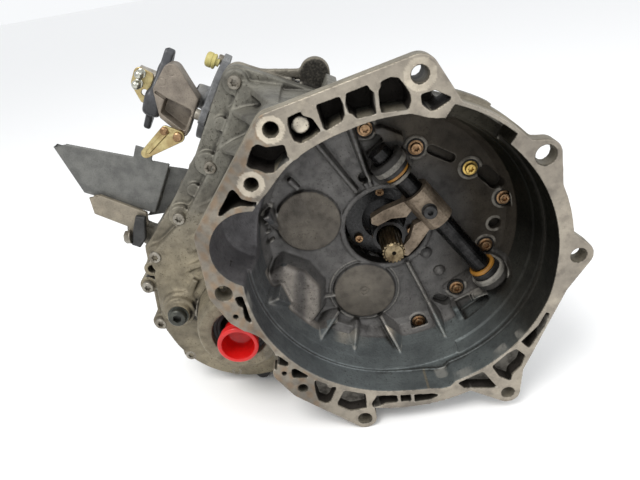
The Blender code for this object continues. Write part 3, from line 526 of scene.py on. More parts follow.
MATS = {
    "cast": cast_material("cast_aluminium"),
    "gear": metal_material("gear_steel", (0.36, 0.36, 0.37), (0.22, 0.22, 0.23), 0.28, 1.0, 300, 0.35),
    "steel": metal_material("worn_steel", (0.50, 0.47, 0.42), (0.30, 0.27, 0.22), 0.36, 1.0, 500, 0.5),
    "fork": metal_material("fork_bronze", (0.235, 0.185, 0.135), (0.105, 0.080, 0.056), 0.46, 0.6, 380, 0.7),
    "shaft": metal_material("oily_shaft", (0.030, 0.029, 0.029), (0.010, 0.010, 0.010), 0.28, 0.9, 300, 0.3),
    "bearing": metal_material("bearing_steel", (0.42, 0.42, 0.43), (0.30, 0.30, 0.31), 0.22, 1.0, 260, 0.3),
    "sync": metal_material("sleeve_steel", (0.30, 0.29, 0.27), (0.17, 0.165, 0.155), 0.34, 1.0, 420, 0.4),
    "rail": metal_material(
        "fork_rail_iron", (0.20, 0.185, 0.160), (0.115, 0.105, 0.090), 0.48, 0.7, 450, 0.5,
    ),
    "diff": metal_material(
        "differential_iron", (0.145, 0.135, 0.120), (0.085, 0.080, 0.070), 0.52, 0.5, 350, 0.5,
    ),
    "dark": metal_material("dark_steel", (0.034, 0.033, 0.033), (0.014, 0.014, 0.014), 0.45, 0.5, 400, 0.4),
    # near-black steel for the guide sleeve, matched to the shade of the deep recess round it: painted shade
    "sleeve_black": metal_material("near_black_sleeve", (0.014, 0.013, 0.013), (0.004, 0.004, 0.004), 0.30, 0.3, 300, 0.4),
    "black": metal_material(
        "black_hole_steel", (0.02, 0.02, 0.02), (0.008, 0.008, 0.008), 0.7, 0.3, 400, 0.3,
    ),
    "spline": spline_material(
        "spline_brass", (0.26, 0.205, 0.125), (0.080, 0.058, 0.034), 0.34, 1.0, 350, 0.85, (1, 0.15, 1),
    ),
    "copper": metal_material("copper_bolt", (0.40, 0.255, 0.145), (0.20, 0.120, 0.062), 0.40, 1.0, 420, 0.8),
    "brass": metal_material("brass_bolt", (0.62, 0.44, 0.14), (0.34, 0.23, 0.07), 0.36, 1.0, 420, 0.7),
    "amber": plastic_material("amber_bush", (0.36, 0.165, 0.022), (0.10, 0.045, 0.010), 0.42, 0.1),
    "red": plastic_material("red_cap", (0.60, 0.007, 0.006), (0.40, 0.003, 0.003), 0.34, 0.04),
    "zinc": metal_material("yellow_zinc", (0.52, 0.44, 0.22), (0.36, 0.27, 0.13), 0.40, 0.9, 260, 0.45),
    "stud": metal_material("bright_stud", (0.50, 0.50, 0.44), (0.30, 0.30, 0.26), 0.25, 1.0, 300, 0.5),
    "cap": plastic_material("breather_yellow", (0.50, 0.44, 0.16), (0.33, 0.27, 0.08), 0.5, 0.15),
    "bracket": metal_material(
        "phosphate_sheet", (0.150, 0.150, 0.140), (0.100, 0.100, 0.095), 0.50, 0.45, 800, 0.35,
    ),
    "bracket_tan": metal_material(
        "worn_sheet", (0.27, 0.235, 0.18), (0.20, 0.175, 0.135), 0.52, 0.45, 800, 0.35,
    ),
    "bracket_dark": metal_material(
        "dark_sheet", (0.045, 0.045, 0.044), (0.025, 0.025, 0.025), 0.5, 0.4, 500, 0.3,
    ),
    "weight": metal_material(
        "weight_steel", (0.25, 0.215, 0.175), (0.165, 0.14, 0.115), 0.50, 0.5, 700, 0.45,
    ),
    "bolt": metal_material("zinc_bolt", (0.30, 0.28, 0.24), (0.17, 0.15, 0.12), 0.45, 0.8, 380, 0.6),
    "lever": metal_material("lever_dark", (0.060, 0.062, 0.068), (0.038, 0.038, 0.040), 0.45, 0.25, 500, 0.4),
    "plug": metal_material("drain_steel", (0.075, 0.078, 0.066), (0.040, 0.041, 0.036), 0.42, 0.7, 400, 0.5),
    "rubber": plastic_material("seal_rubber", (0.016, 0.016, 0.016), (0.008, 0.008, 0.008), 0.6, 0.2),
}


def paint(obj, material):
    obj.data.materials.clear()
    obj.data.materials.append(MATS[material])
    return obj


# ---------------------------------------------------------------- clutch housing
flange_outline = belt(
    [LUGS["right"][:3]] + arc(156.0, 4, 22) + [LUGS["upper_right"][:3]] + arc(156.0, 41, 66)
    + [LUGS["top"][:3], LUGS["top_left"][:3], (-153.0, 56.0, 21.0)]
    + [LUGS["left_lower"][:3], (-155.8, -25.8, 8.5)] + arc(42.0, 65, -18, 8, DIFF)
    + [(-123.4, -98.2, 11.5), LUGS["bottom_left"][:3], LUGS["bottom"][:3]] + arc(164.0, 256, 291)
    + [
        LUGS["lower_right"][:3], (109.4, -133.6, 3.0), (117.4, -116.2, 3.0), (131.0, -85.4, 3.0),
        (149.0, -45.6, 3.0),
    ]
)
CASE_TOP = [(-125.0, 168.0, 13.0), (-171.0, 94.0, 13.0), (-213.0, 42.0, 13.0), (-250.0, 2.0, 13.0)]
CASE_LOW = [(*OUT2, 68.0), (52.0, -60.0, 12.0), (50.0, 22.0, 22.0), (6.0, 100.0, 14.0)]
CASE_DIFF = [(*DIFF, 102.5)]
case_circles = CASE_TOP + CASE_DIFF + CASE_LOW
back_circles = [(-20.0, 86.0, 20.0), (-126.0, 150.0, 13.0)] + CASE_TOP[1:] + CASE_DIFF + CASE_LOW[:-1]
front_circles = [
    (-116.9, 163.0, 5.0), (-163.3, 88.5, 5.0), (-205.8, 35.8, 5.0), (-250.0, 2.0, 6.0),
] + grown(CASE_DIFF + CASE_LOW, -7.0)
room_circles = [
    (-108.5, 158.0, 3.0), (-155.0, 82.7, 3.0), (-198.0, 29.5, 3.0), (-248.0, 2.0, 5.0),
] + grown(CASE_DIFF + CASE_LOW, -8.0)
rear_circles = [
    (-49.5, 82.0, 26.0), (-128.0, 112.0, 12.0), (-151.0, 78.0, 12.0), (*OUT1, 72.0), (*OUT2, 68.0),
    (0.0, 0.0, 56.0),
]
LIP = {
    0: 142.7, 20: 142, 31: 142, 45: 142.5, 66: 142.5, 70: 140, 74: 138, 81: 141, 93: 138.5, 102: 137,
    113: 137.5, 124: 139, 137: 137.5, 146: 141, 184: 141.5, 223: 141, 252: 140.5, 267: 141, 277: 143.5,
    280: 146, 283: 149, 286: 148.5, 288: 144.5, 316: 145, 338: 145, 352: 142.8, 360: 142.7,
}


def lip(angle):
    return float(np.interp(angle % 360, list(LIP), list(LIP.values())))


POCKETS = {
    "p1": [
        (-102, 135), (-95, 131), (-86.8, 130.9), (-80.8, 131), (-79.3, 121.9), (-77.4, 118.1), (-85.8, 114.2),
        (-93.7, 108.9), (-100.5, 109.5), (-105.5, 113), (-112, 115.6), (-114.5, 118.5), (-110.5, 127),
        (-106.5, 133),
    ],
    "p2": [
        (-129.7, 100.2), (-127.2, 96), (-124.8, 90.6), (-117.8, 87), (-112.8, 85.8), (-113.4, 81.7),
        (-117.2, 82.4), (-126.5, 84.4), (-135.6, 83.1), (-144.8, 78), (-148, 78.6), (-145, 84), (-138, 92.5),
        (-133.4, 99),
    ],
    "p3": [
        (-74, 152), (-62, 155.5), (-59, 150.5), (-54.7, 148), (-49.6, 137.4), (-57.7, 132.7), (-67.1, 129.7),
        (-72.4, 132.5), (-74.5, 139.7), (-75, 146.7),
    ],
    "p4": [
        (-50.5, 158), (-31.5, 161.8), (-29.2, 155.3), (-28.9, 147), (-31.6, 142.5), (-45.5, 136.8),
        (-47.6, 138.5), (-50, 154),
    ],
    "p5": [
        (-26, 163.2), (-9.3, 166.8), (-6.0, 162.8), (-4.4, 160), (-4.4, 151.3), (-4.8, 143.5), (-20.4, 142.4),
        (-22, 144.4), (-25.8, 146.5), (-28.0, 154.4),
    ],
    "p6": [
        (0.6, 167.6), (9.5, 170.0), (15.4, 168.4), (19.4, 162.4), (23, 155.2), (23.8, 146.3), (20, 142.9),
        (-0.5, 143.8), (-1.6, 150), (-1.2, 161),
    ],
    "p7": [
        (30.9, 153.2), (42.2, 154.9), (54.6, 147.4), (53.2, 144.9), (41.8, 139.1), (37.6, 139.1), (31.5, 145),
    ],
    "la": [
        (-152.5, -4.5), (-149.6, -3.4), (-145.2, -3.1), (-144, -11.3), (-143.6, -20.9), (-142.4, -31),
        (-143.3, -34), (-147.5, -30), (-148.5, -24), (-147, -16), (-151, -12.5),
    ],
    "lb": [(-150.5, 30), (-147.5, 24), (-144.5, 18), (-147.5, 16), (-153, 19), (-155, 23)],
    "b1": [(-126.5, -74.5), (-117, -86), (-119, -90.5), (-128, -86.5), (-129.4, -81)],
    "b2": [
        (-115.2, -94.4), (-111.3, -94.5), (-101, -105), (-102, -107.6), (-108, -107), (-115.5, -106),
        (-117.2, -101),
    ],
    "b3": [
        (-95.1, -111.9), (-75, -125.4), (-83.5, -142), (-88.2, -144.6), (-95.5, -139.5), (-97, -128),
        (-96.4, -117.2),
    ],
    "b4": [
        (-68.1, -130.5), (-47.5, -138.5), (-47.3, -145.5), (-48.4, -157.5), (-61.5, -158.5), (-66, -158),
        (-76.6, -149.6), (-77.4, -146.1),
    ],
    "b5": [
        (-36.2, -143), (-16, -146), (-15, -154.8), (-27.8, -154.6), (-36.1, -158), (-41.5, -158.5),
        (-42.5, -152.4), (-38, -146),
    ],
    "b6": [(-12.5, -146.4), (-1.5, -147.6), (-1.5, -156), (-12.5, -155)],
    "b7": [(1.5, -148), (22, -150.2), (27, -153), (18, -157.5), (1.5, -157.8)],
    "b8": [(46.4, -140.5), (72.2, -130.5), (85.6, -152.4), (78.0, -152.6), (62, -150), (52.4, -148.5)],
    "b9": [
        (81, -125.5), (97.4, -111.1), (105.0, -107.5), (113.8, -117.0), (110.0, -129.5), (101.0, -138.5),
        (99.4, -147.0), (88, -139.5),
    ],
    "b10": [
        (109.7, -99.5), (125.6, -83.4), (133.0, -69.0), (136.4, -70.5), (132.4, -84.3), (117.6, -108.5),
        (113.8, -104.9),
    ],
}
EJECTORS = {
    (-58.0, 155.5): 5.6, (-26.3, 142.6): 5.0, (-3.3, 166.0): 5.2, (26.5, 145.0): 5.0, (-74.8, 122.0): 5.4,
    (-43.0, -140.6): 4.0, (-81.0, -122.0): 3.6,
}
DEEP = {"p1", "p2", "p3", "p4", "p5", "p6", "p7"}
COPPER = {
    (-9.8, 107.9): "copper", (37.3, 81.1): "copper", (89.4, 51.3): "brass", (122.5, 13.9): "copper",
    (102.7, -37.9): "copper", (69.3, -86.5): "copper", (24.3, -124.5): "copper",
}


def build_housing():
    c = Casting((-289, -2, -187), (177, 128.2, 187), STEP)
    c.prism(flange_outline, 0, 16, edge=0.9)
    c.turned([(0, 8), (151, 8), (150, 60), (139, 108), (0, 108)], (0, 0), 3)
    c.prism(
        belt([(31.8, 166.4, 12.0), (-89.1, 143.6, 11.0), (-112.0, 100.0, 14.0), (36.0, 138.0, 10.0)]), 10, 36,
        3, edge=2,
    )
    c.prism(
        [polar(157.5, a) for a in range(38, 70, 3)] + [polar(120, a) for a in (68, 54, 38)], 13, 36, 2,
        edge=1.2,
    )
    c.prism(
        [polar(160.5, a) for a in range(56, 74, 3)] + [polar(120, a) for a in (74, 56)], 14, 27, 1.5,
        edge=1.2,
    )
    c.prism(
        belt([
            (-30, 130, 16), (-89.1, 140.0, 17), (-150.0, 56.0, 20.0), (-152.0, 4.0, 17.0),
            (-100.0, -100.0, 14.0), (0.0, 0.0, 40.0),
        ]),
        10, 112, 4, edge=2, draft=0.03,
    )
    c.prism(belt(front_circles), 98, 116, 2.5, edge=3)
    c.prism(belt(grown(case_circles, 1.4)), 112.3, JOINT_FRONT, 2.5, edge=1.3)
    c.turned([(0, 52), (44, 52), (47, 60), (52, 92), (92, 100), (0, 100)], DIFF, 5)
    c.turned(tube(30, 43, 50.5, 56), DIFF, 1)
    c.rod((STARTER[0], 10, STARTER[1]), (STARTER[0], 70, STARTER[1]), 43, 4, edge=3)
    # the arms and bosses outside the bell, on the drain side
    c.rib((-160, 78, 20), (-262, 116, 2), 7, 118, 6)
    c.rib((-196, 86, -8), (-268, 112, -32), 3.2, 118, 4)
    c.rib((-212, 88, -28), (-262, 108, -100), 3, 118, 4)
    c.rib((-140, 40, 60), (-205, 112, 46), 3, 118, 4)
    c.rib((-118, 30, 116), (-156, 104, 106), 2.4, 118, 3)
    c.rib((-100, 26, 140), (-138, 108, 142), 2.4, 118, 3)
    c.rib((-84, 24, 152), (-116, 110, 160), 3, 118, 4)
    c.rib((-34, 30, 158), (-44, 112, 140), 3, 118, 4)
    for x, z, r in (
        (-125, 168, 12), (-171, 94, 12), (-213, 42, 12), (-250, 2, 11), (-260, -14, 9), (-269, -33, 10),
    ):
        c.disc((x, z), r, 103, JOINT_FRONT, 2.5)
    for x, z in ((-269, -84), (-246, -132), (-198, -164)):
        c.disc((x, z), 10.5, 104, JOINT_FRONT, 5)
    c.disc((-167.8, -172.2), 9.8, 104, JOINT_FRONT, 4)
    for at in ((-148, 131), (-192, 68)):
        c.disc(at, 7.0, 106, 120, 3)
    c.turned([(0, 78), (12, 78), (14, 83), (17.5, 84), (18.5, 89), (21, 91), (22, 106), (0, 106)], DRAIN, 5)
    # bell inside
    mouth = [polar(lip(a), a) for a in range(0, 360, 3)]
    c.prism(mouth, -6, 30, away=True, edge=0.2)
    c.turned([
        (0, 24), (137.4, 24), (136.2, 40), (133.5, 62), (130.5, 78), (124, 89), (117, 92.2), (0, 92.2),
    ], (0, 0), 1.0, away=True)
    for start, end, reach in ((-68, 67, 142.3), (150, 262, 140.9), (258, 296, 140.6)):
        c.prism(
            [polar(reach, a) for a in range(start, end, 3)] + [(0, 0)], 0, 46, away=True, edge=0.2,
            draft=0.11,
        )
    c.turned([(0, -6), (37, -6), (36.5, 30), (34, 54), (26, 63), (0, 65)], STARTER, 1.5, away=True)
    c.prism(
        [polar(152.2, a) for a in range(46, 69, 2)] + [polar(136, a) for a in (70, 58, 45)], -4, 34,
        away=True, edge=1,
    )
    for name, outline in POCKETS.items():
        c.prism(outline, -5, 31 if name in DEEP else 13.2, away=True, edge=1.2, draft=0.03)
    for at, r in EJECTORS.items():
        c.disc(at, r, 0.3, 30 if at[1] > 0 else 15, 0.6)
    for x, z, r in SMALL_BOSSES:
        c.disc((x, z), r, 0.1, 15, 1)
    for x, z, r in SMALL_BOSSES:
        c.disc((x, z), 2.4, -3, 12, away=True)
    c.disc(BRIGHT_SEAT, 7.6, 9, 40, 0.8)
    # pads, ribs and bosses of the back wall
    for at, level in ((PAD1, 87.6), (OUT2, 87.2)):
        c.turned([(0, level), (32.6, level), (33.4, level + 0.5), (36.0, 96), (0, 96)], at, 1.5)
    c.turned([(37.6, 90.7), (38.8, 90.7), (40.0, 96), (36.6, 96)], OUT2, 1.0)
    for at, level in ((PAD1, 87.6), (OUT2, 87.2)):
        c.disc(at, 1.2, 85, level + 1.2, away=True)
        c.turned([(4.2, 85), (5.2, 85), (5.2, level + 0.5), (4.2, level + 0.5)], at, away=True)
    for turn, near, far in ((102, 51, 120), (119.3, 53, 121)):
        (x0, z0), (x1, z1) = polar(near, turn), polar(far, turn)
        c.rib((x0, 83.5, z0), (x1, 80, z1), 1.5, 94, 1.6, flare=0.22)
    c.rib((17.1, 83, -41.6), (36.5, 84, -97.3), 1.1, 94, 1.6, flare=0.2)
    c.rib((36.5, 84, -97.3), (47.6, 55, -126.2), 1.1, 96, 1.6, flare=0.2)
    for start, end in (
        ((-63.2, 84, -92.2), (-86.6, 51.1, -103.1)), ((-45.1, 84, -107), (-52.6, 50.4, -124.1)),
        ((-18.5, 84, -105.7), (-3.2, 50.7, -134.6)), ((-65.8, 86, -72.2), (-90, 84, -69.9)),
    ):
        c.rib(start, end, 0.9, 98, 1.4, flare=0.25)
    c.rib((-36, 87, 110), (-48, 84, 119), 1.0, 94, 1.4)
    c.rib((-91, 84, 70), (-83, 86, 58), 2.2, 94, 2)
    c.rib((-118, 62, 44), (-112, 86, 20), 3.0, 96, 5)
    c.rib((-124, 40, -38), (-116, 64, -62), 4.5, 98, 6)
    c.rib((-96, 74, -48), (-84, 86, -80), 4.0, 98, 8)
    c.rib((-70, 80, -104), (-40, 82, -122), 3.0, 98, 8)
    for x, z, r in ((38.8, -36.6, 6.0), (51.7, -60.7, 6.0)):
        c.turned([(0, 84.8), (r * 0.55, 85.6), (r, 89.5), (r, 96), (0, 96)], (x, z), 0.8)
    for turn in (143, 157, 171, 185, 199):
        (x0, z0), (x1, z1) = polar(41, turn, PAD1), polar(50 if turn < 190 else 46, turn, PAD1)
        c.rib((x0, 85.5, z0), (x1, 83, z1), 0.9, 96, 1.2, flare=0.2)
    c.prism([
        (-136, -30), (-112, -18), (-92, -30), (-80, -52), (-85, -80), (-101, -98), (-140, -80),
    ], 70, 96, 3, edge=4, draft=-0.35)
    c.prism([(-16, 47), (30, 54), (22, 62), (-22, 62)], 86.6, 96, 2, edge=1)
    for x, z, r in ((13.4, -92.8, 5.0), (-68.1, 81.6, 6.0), (-54.9, 64.9, 6.0)):
        c.turned(tube(r - 0.9, r, 88, 93), (x, z), away=True)
        for w, h in ((r * 0.6, 0.4), (0.4, r * 0.5)):
            c.prism([(-w, -h), (w, -h), (w, h), (-w, h)], 88, 92.9, away=True, edge=0.1, centre=(x, z))
    for x, z in COPPER:
        c.turned([(0, 90.2), (11.6, 90.4), (12.8, 96), (0, 96)], (x, z), 1.5)
    c.turned([(0, 90.6), (8.6, 90.6), (10, 96), (0, 96)], PLAIN_BOSS, 1.0)
    # the upper bush's forked bracket and both bush bosses
    c.prism([
        (-0.5, 109.8), (6.5, 109.4), (25, 98.5), (25.4, 91), (19.6, 85.6), (28, 80), (31, 68), (22, 56),
        (2, 56), (-9.5, 79), (-11, 84.6), (-2.5, 90), (6.0, 96.5), (3, 101.5), (-1.5, 104.5),
    ], 80.4, 96, 2.0, edge=1.4)
    c.rod(SHAFT_TOP - CROSS * 16, SHAFT_TOP - CROSS * 3, 17.6, 3, edge=1.5)
    c.prism(
        [(-12, -16), (12, -16), (14, 12), (-10, 12)], 79, 98, 4, centre=(SHAFT_TOP.x - 3, SHAFT_TOP.z + 4),
        edge=2,
    )
    c.rod(SHAFT_LOW + CROSS * 3, SHAFT_LOW + CROSS * 17, 18.2, 4, edge=2)
    c.prism(
        [(-13, -17), (20, -20), (22, 10), (2, 18)], 77, 98, 5, centre=(SHAFT_LOW.x + 6, SHAFT_LOW.z - 8),
        edge=4,
    )
    c.prism([
        (32.9, 57.6), (20.2, 53.1), (9.4, 48.2), (1.7, 38.2), (-5.5, 25.6), (0.5, 22.2), (7.9, 32.6),
        (16.9, 39.1), (29.5, 40.4),
    ], 95, 118, edge=2)
    c.prism([(60, -102), (103, -84), (108, -100), (70, -126)], 70, 98, 4, edge=3)
    c.prism([(66, -100), (98, -88), (101, -96), (72, -114)], 66, 86, 2, away=True, edge=1.5)
    c.rod(SHAFT_TOP - CROSS * 40, SHAFT_LOW + CROSS * 16, 11.2, away=True)
    c.rod(SHAFT_TOP - CROSS * 8, SHAFT_TOP + CROSS * 8, 15.3, away=True)
    c.rod(SHAFT_LOW - CROSS * 8, SHAFT_LOW + CROSS * 8, 15.3, away=True)
    # recess round the input shaft, with its three ears
    c.turned([(43.6, 90.3), (48.5, 90.3), (50, 96), (43.6, 96)], (0, 0), 1.2)
    c.disc((0, 0), 43.0, 78, 118.2, away=True)
    c.rod(SHAFT_TOP + CROSS * 10, SHAFT_LOW - CROSS * 10, 13.0, away=True)
    for x, z in COPPER:
        c.disc((x, z), 9.2, 84, 95, away=True)
    c.disc(PLAIN_BOSS, 6.4, 84, 101, away=True)
    c.disc((-17.5, 58.4), 4.7, 84, 102, away=True)
    for (ax, az), (bx, bz), r, deep in (
        ((52.4, 76.4), (71.1, 64.6), 4.6, 99), ((103.9, 44.4), (114.9, 31.9), 7.2, 102),
        ((48.6, -97.9), (55.5, -101.9), 5.8, 102),
    ):
        c.prism(belt([(ax, az, r), (bx, bz, r)]), 84, deep, away=True, edge=0.3)
    c.prism(belt([(60, -84, 5), (78, -76, 5), (84, -70, 4)]), 86, 93.2, 1, away=True, edge=0.4)
    # bores and bolt holes
    c.disc((0, 0), 24.4, 100, 140, away=True)
    c.turned([
        (0, 40), (30, 40), (30, 60), (26, 61), (26, 108), (34.9, 108), (34.9, 140), (0, 140),
    ], DIFF, away=True)
    c.prism(belt(room_circles), 107, 130, away=True)
    for name, (x, z, r, hole) in LUGS.items():
        c.turned([
            (0, -4), (hole + 0.9, -4), (hole + 0.9, 0.2), (hole, 1.1), (hole, 60), (0, 60),
        ], (x, z), away=True)
    c.disc(DRAIN, 6.5, 70, 103, away=True)
    c.disc((-260, -14), 4.6, 90, 130, away=True)
    return c


def blend(colour, other, share):
    return colour * (1 - share) + np.array(other) * share


def housing_colour(points, normal):
    x, y, z = points.T

    def off(at):
        return np.hypot(x - at[0], z - at[1])

    r, angle = np.hypot(x, z), np.degrees(np.arctan2(z, x)) % 360
    n = len(points)
    tint = np.tile((0.215, 0.196, 0.155), (n, 1))
    high = np.clip((z - 20) / 60, 0, 1)[:, None] * (y > 20)[:, None]
    tint = blend(tint, (0.158, 0.155, 0.136), high)
    face = (y < 0.7) & (normal[:, 1] < -0.75)
    # colour of the bell's inner wall by angle: its own tone with painted light and shade, near black on the
    # right where the wall lies in shade, lighter low down where light falls
    wall_tone_and_shade = np.array([
        np.interp(angle, (0, 40, 75, 110, 150, 200, 235, 300, 325, 360), channel) for channel in (
            (0.005, 0.006, 0.060, 0.080, 0.060, 0.080, 0.135, 0.120, 0.030, 0.005),
            (0.005, 0.006, 0.055, 0.080, 0.062, 0.085, 0.155, 0.138, 0.030, 0.005),
            (0.004, 0.004, 0.043, 0.072, 0.066, 0.090, 0.165, 0.142, 0.027, 0.004),
        )
    ]).T
    inside = (r < 152) & (y > 0.7) & (y < 91)
    inside |= (off(STARTER) < 40) & (y > 0.7) & (y < 70)
    low_right = (angle > 277) & (angle < 352) & (r < 151)
    starter = off(STARTER) < 37.5
    inside &= ~((r > 143.5) & (y < 36) & ~((angle > 44) & (angle < 70)) & ~low_right & ~starter)
    tint[inside] = wall_tone_and_shade[inside]
    bowl = (off(STARTER) < 40) & (y > 2) & (y < 70) & (r > 120)
    tint[bowl] = (0.105, 0.103, 0.110)
    facet = (x > -134) & (x < -78) & (z > -100) & (z < -18) & (y > 66) & (y < 90)
    # bands of painted highlight across the facets of the lower left boss
    shine = np.clip(0.55 + 0.6 * np.sin(x * 0.23 - z * 0.05), 0, 1)[:, None]
    tint[facet] = blend(np.array((0.085, 0.080, 0.078)), (0.250, 0.232, 0.215), shine)[facet]
    # three warm light patches between the ribs below the lower pad: painted highlights
    for cx, cz in ((-58, -112), (-36, -116), (-10, -117)):
        painted_highlight = np.exp(-(((x - cx) / 9) ** 2 + ((z - cz) / 6) ** 2))[:, None] * (y > 60)[:, None]
        tint = blend(tint, (0.46, 0.42, 0.36), painted_highlight)
    deep = inside | ((y > 78) & (r < 132))
    floor = deep & (y > 76) & (r < 131)
    brown = np.clip(np.interp(
        angle, (0, 15, 80, 100, 300, 330, 360), (1, 1, 1, 0, 0, 0.8, 1),
    ), 0, 1) * np.clip((r - 55) / 40, 0, 1)
    flat = blend(np.array((0.120, 0.118, 0.118)), (0.062, 0.053, 0.042), brown[:, None])
    # darker towards the right of the back wall: painted shade, as on the bell's right wall
    flat *= np.interp(x, (30, 100), (1.0, 0.55))[:, None]
    tint[floor] = flat[floor]
    for at in (PAD1, OUT2):
        tint[(off(at) < 33.2) & (y < 91) & (y > 84)] = (0.120, 0.108, 0.092)
    for end in (SHAFT_TOP, SHAFT_LOW):
        holder = np.linalg.norm(points - np.array(end), axis=1) < 27
        tint[holder] = (0.050, 0.048, 0.046)
    # near black along the inside of the flange pockets' walls: painted shade in the pockets
    pocket = (y > 0.9) & (y < 33) & (r > 143.2) & (x * normal[:, 0] + z * normal[:, 2] < r * 0.97)
    edge_in = np.zeros(n, bool)
    for outline in POCKETS.values():
        edge_in |= flat_distance(outline, x, z) < 1.8
    tint[pocket & edge_in] = (0.028, 0.025, 0.023)
    seat = (off(BRIGHT_SEAT) < 7.4) & (y > 3) & (y < 12)
    tint[seat] = (0.62, 0.58, 0.50)
    ring = np.zeros(n, bool)
    for name in ("top_left", "left_upper", "top"):
        ring |= off(LUGS[name]) < LUGS[name][2] - 2.6
    left = np.clip((-x - 40) / 60, 0, 1)[:, None]
    plate = np.array((0.33, 0.30, 0.255)) * (1 - left * 0.34)
    plate[ring] = (0.50, 0.455, 0.38)
    tint[face] = plate[face]
    wave = np.sin(x * 0.43 + 1.3 * np.sin(z * 0.11)) * np.cos(z * 0.31 + 1.1 * np.sin(x * 0.19))
    stain = (np.clip((wave + 0.35) * 0.8, 0, 0.75) * (face & (x < -92) & (r > 143) & ~ring))[:, None]
    tint = blend(tint, (0.225, 0.160, 0.105), stain)
    # near black in the deep recess round the input shaft: painted shade
    recess = (r < 44.5) & (y > 92)
    tint[recess] = (0.012, 0.011, 0.010)
    out = ~face & ~deep & (y > 40) & (x < -150)
    low = (np.clip((50 - z) / 60, 0, 1) * out)[:, None]
    tint = blend(tint, (0.205, 0.182, 0.134), low)
    pad = (y < 91) & (y > 84) & floor & (normal[:, 1] < -0.97) & (off(OUT2) < 33)
    return tint, (face | pad).astype(float)


housing = casting_object("housing_casting", build_housing(), housing_colour)
paint(housing, "cast")
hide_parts("clutch_housing")
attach(housing, "case")


def tinted(colour, machined=0.0):
    return lambda points, normal: (np.tile(colour, (len(points), 1)), np.full(len(points), machined))


def cast_piece(
    name, low, high, step, build, body, nodes=(), material="cast", colour=None,
    tint=(0.30, 0.28, 0.23),
):
    c = Casting(low, high, step * (1.0))
    build(c)
    obj = paint(casting_object(name, c, colour or tinted(tint)), material)
    if nodes:
        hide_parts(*nodes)
    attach(obj, body)
    return obj


def spun_object(name, at, direction, rings, body, material, nodes=(), steps=48, sharp=28):
    """Rings of (radius or a function of the angle, distance) from at along direction, in mm."""
    d = Vector(direction).normalized()
    a = d.orthogonal().normalized()
    b = d.cross(a)
    bm = bmesh.new()
    loops = []
    for radius, along in rings:
        loop = []
        for k in range(steps):
            t = 2 * pi * k / steps
            r = radius(t) if callable(radius) else radius
            loop.append(bm.verts.new(row(Vector(at) + d * along + a * (r * cos(t)) + b * (r * sin(t)))))
        loops.append(loop)
    for one, two in zip(loops, loops[1:]):
        for k in range(steps):
            bm.faces.new((one[k - 1], one[k], two[k], two[k - 1]))
    bmesh.ops.remove_doubles(bm, verts=bm.verts, dist=1e-7)
    bmesh.ops.dissolve_degenerate(bm, edges=bm.edges, dist=1e-7)
    bmesh.ops.recalc_face_normals(bm, faces=bm.faces)
    mesh = bpy.data.meshes.new(name)
    bm.to_mesh(mesh)
    bm.free()
    mesh.polygons.foreach_set("use_smooth", np.ones(len(mesh.polygons), bool))
    mesh.set_sharp_from_angle(angle=radians(sharp))
    obj = paint(linked(name, mesh), material)
    if nodes:
        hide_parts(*nodes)
    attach(obj, body)
    return obj


def star(t, size=2.7):
    return size * (1 + 0.15 * cos(6 * t))


def hexagon(across):
    return lambda t: across / 2 / cos((t + pi / 6) % (pi / 3) - pi / 6)


def socket_bolt(
    name, at, direction, body, material, head=6.4, height=6.0, socket=2.7, washer=0.0, nodes=(),
):
    """A bolt with a star socket: at is on the face that it clamps, direction points out of the head."""
    rings = [
        (0.0, height - 3.2), (lambda t: star(t, socket * 0.9), height - 3.2),
        (lambda t: star(t, socket), height - 0.2),
    ]
    rings += [
        (head * 0.62, height), (head * 0.88, height - 0.25), (head * 0.97, height - 0.9),
        (head, height - 1.6),
    ]
    if washer:
        rings += [(head, 1.6), (washer, 1.2), (washer + 0.2, 0.8), (washer + 0.2, 0.0)]
    rings += [
        (head, 0.0) if not washer else (head, -0.4), (head * 0.55, -0.5), (head * 0.55, -6.0), (0.0, -6.0),
    ]
    return spun_object(name, at, direction, rings, body, material, nodes)


def add_spun(c, profile, at, direction, fillet=0.0, away=False):
    """A (radius, distance) profile turned about any line, added to a casting."""
    d = np.array(Vector(direction).normalized())
    at = np.array(at, float)
    reach = max(p[0] for p in profile)
    ends = [at + d * min(p[1] for p in profile), at + d * max(p[1] for p in profile)]
    m = reach + fillet + 3 * c.step
    cut, x, y, z = c.window(np.min(ends, 0) - m, np.max(ends, 0) + m)
    px, py, pz = x - at[0], y - at[1], z - at[2]
    along = px * d[0] + py * d[1] + pz * d[2]
    radius = np.sqrt(np.maximum(px * px + py * py + pz * pz - along * along, 0))
    c.apply(cut, flat_distance(both_sides(profile), radius, along), fillet, away)


OUT = Vector((0, -1, 0))
IN = Vector((0, 1, 0))


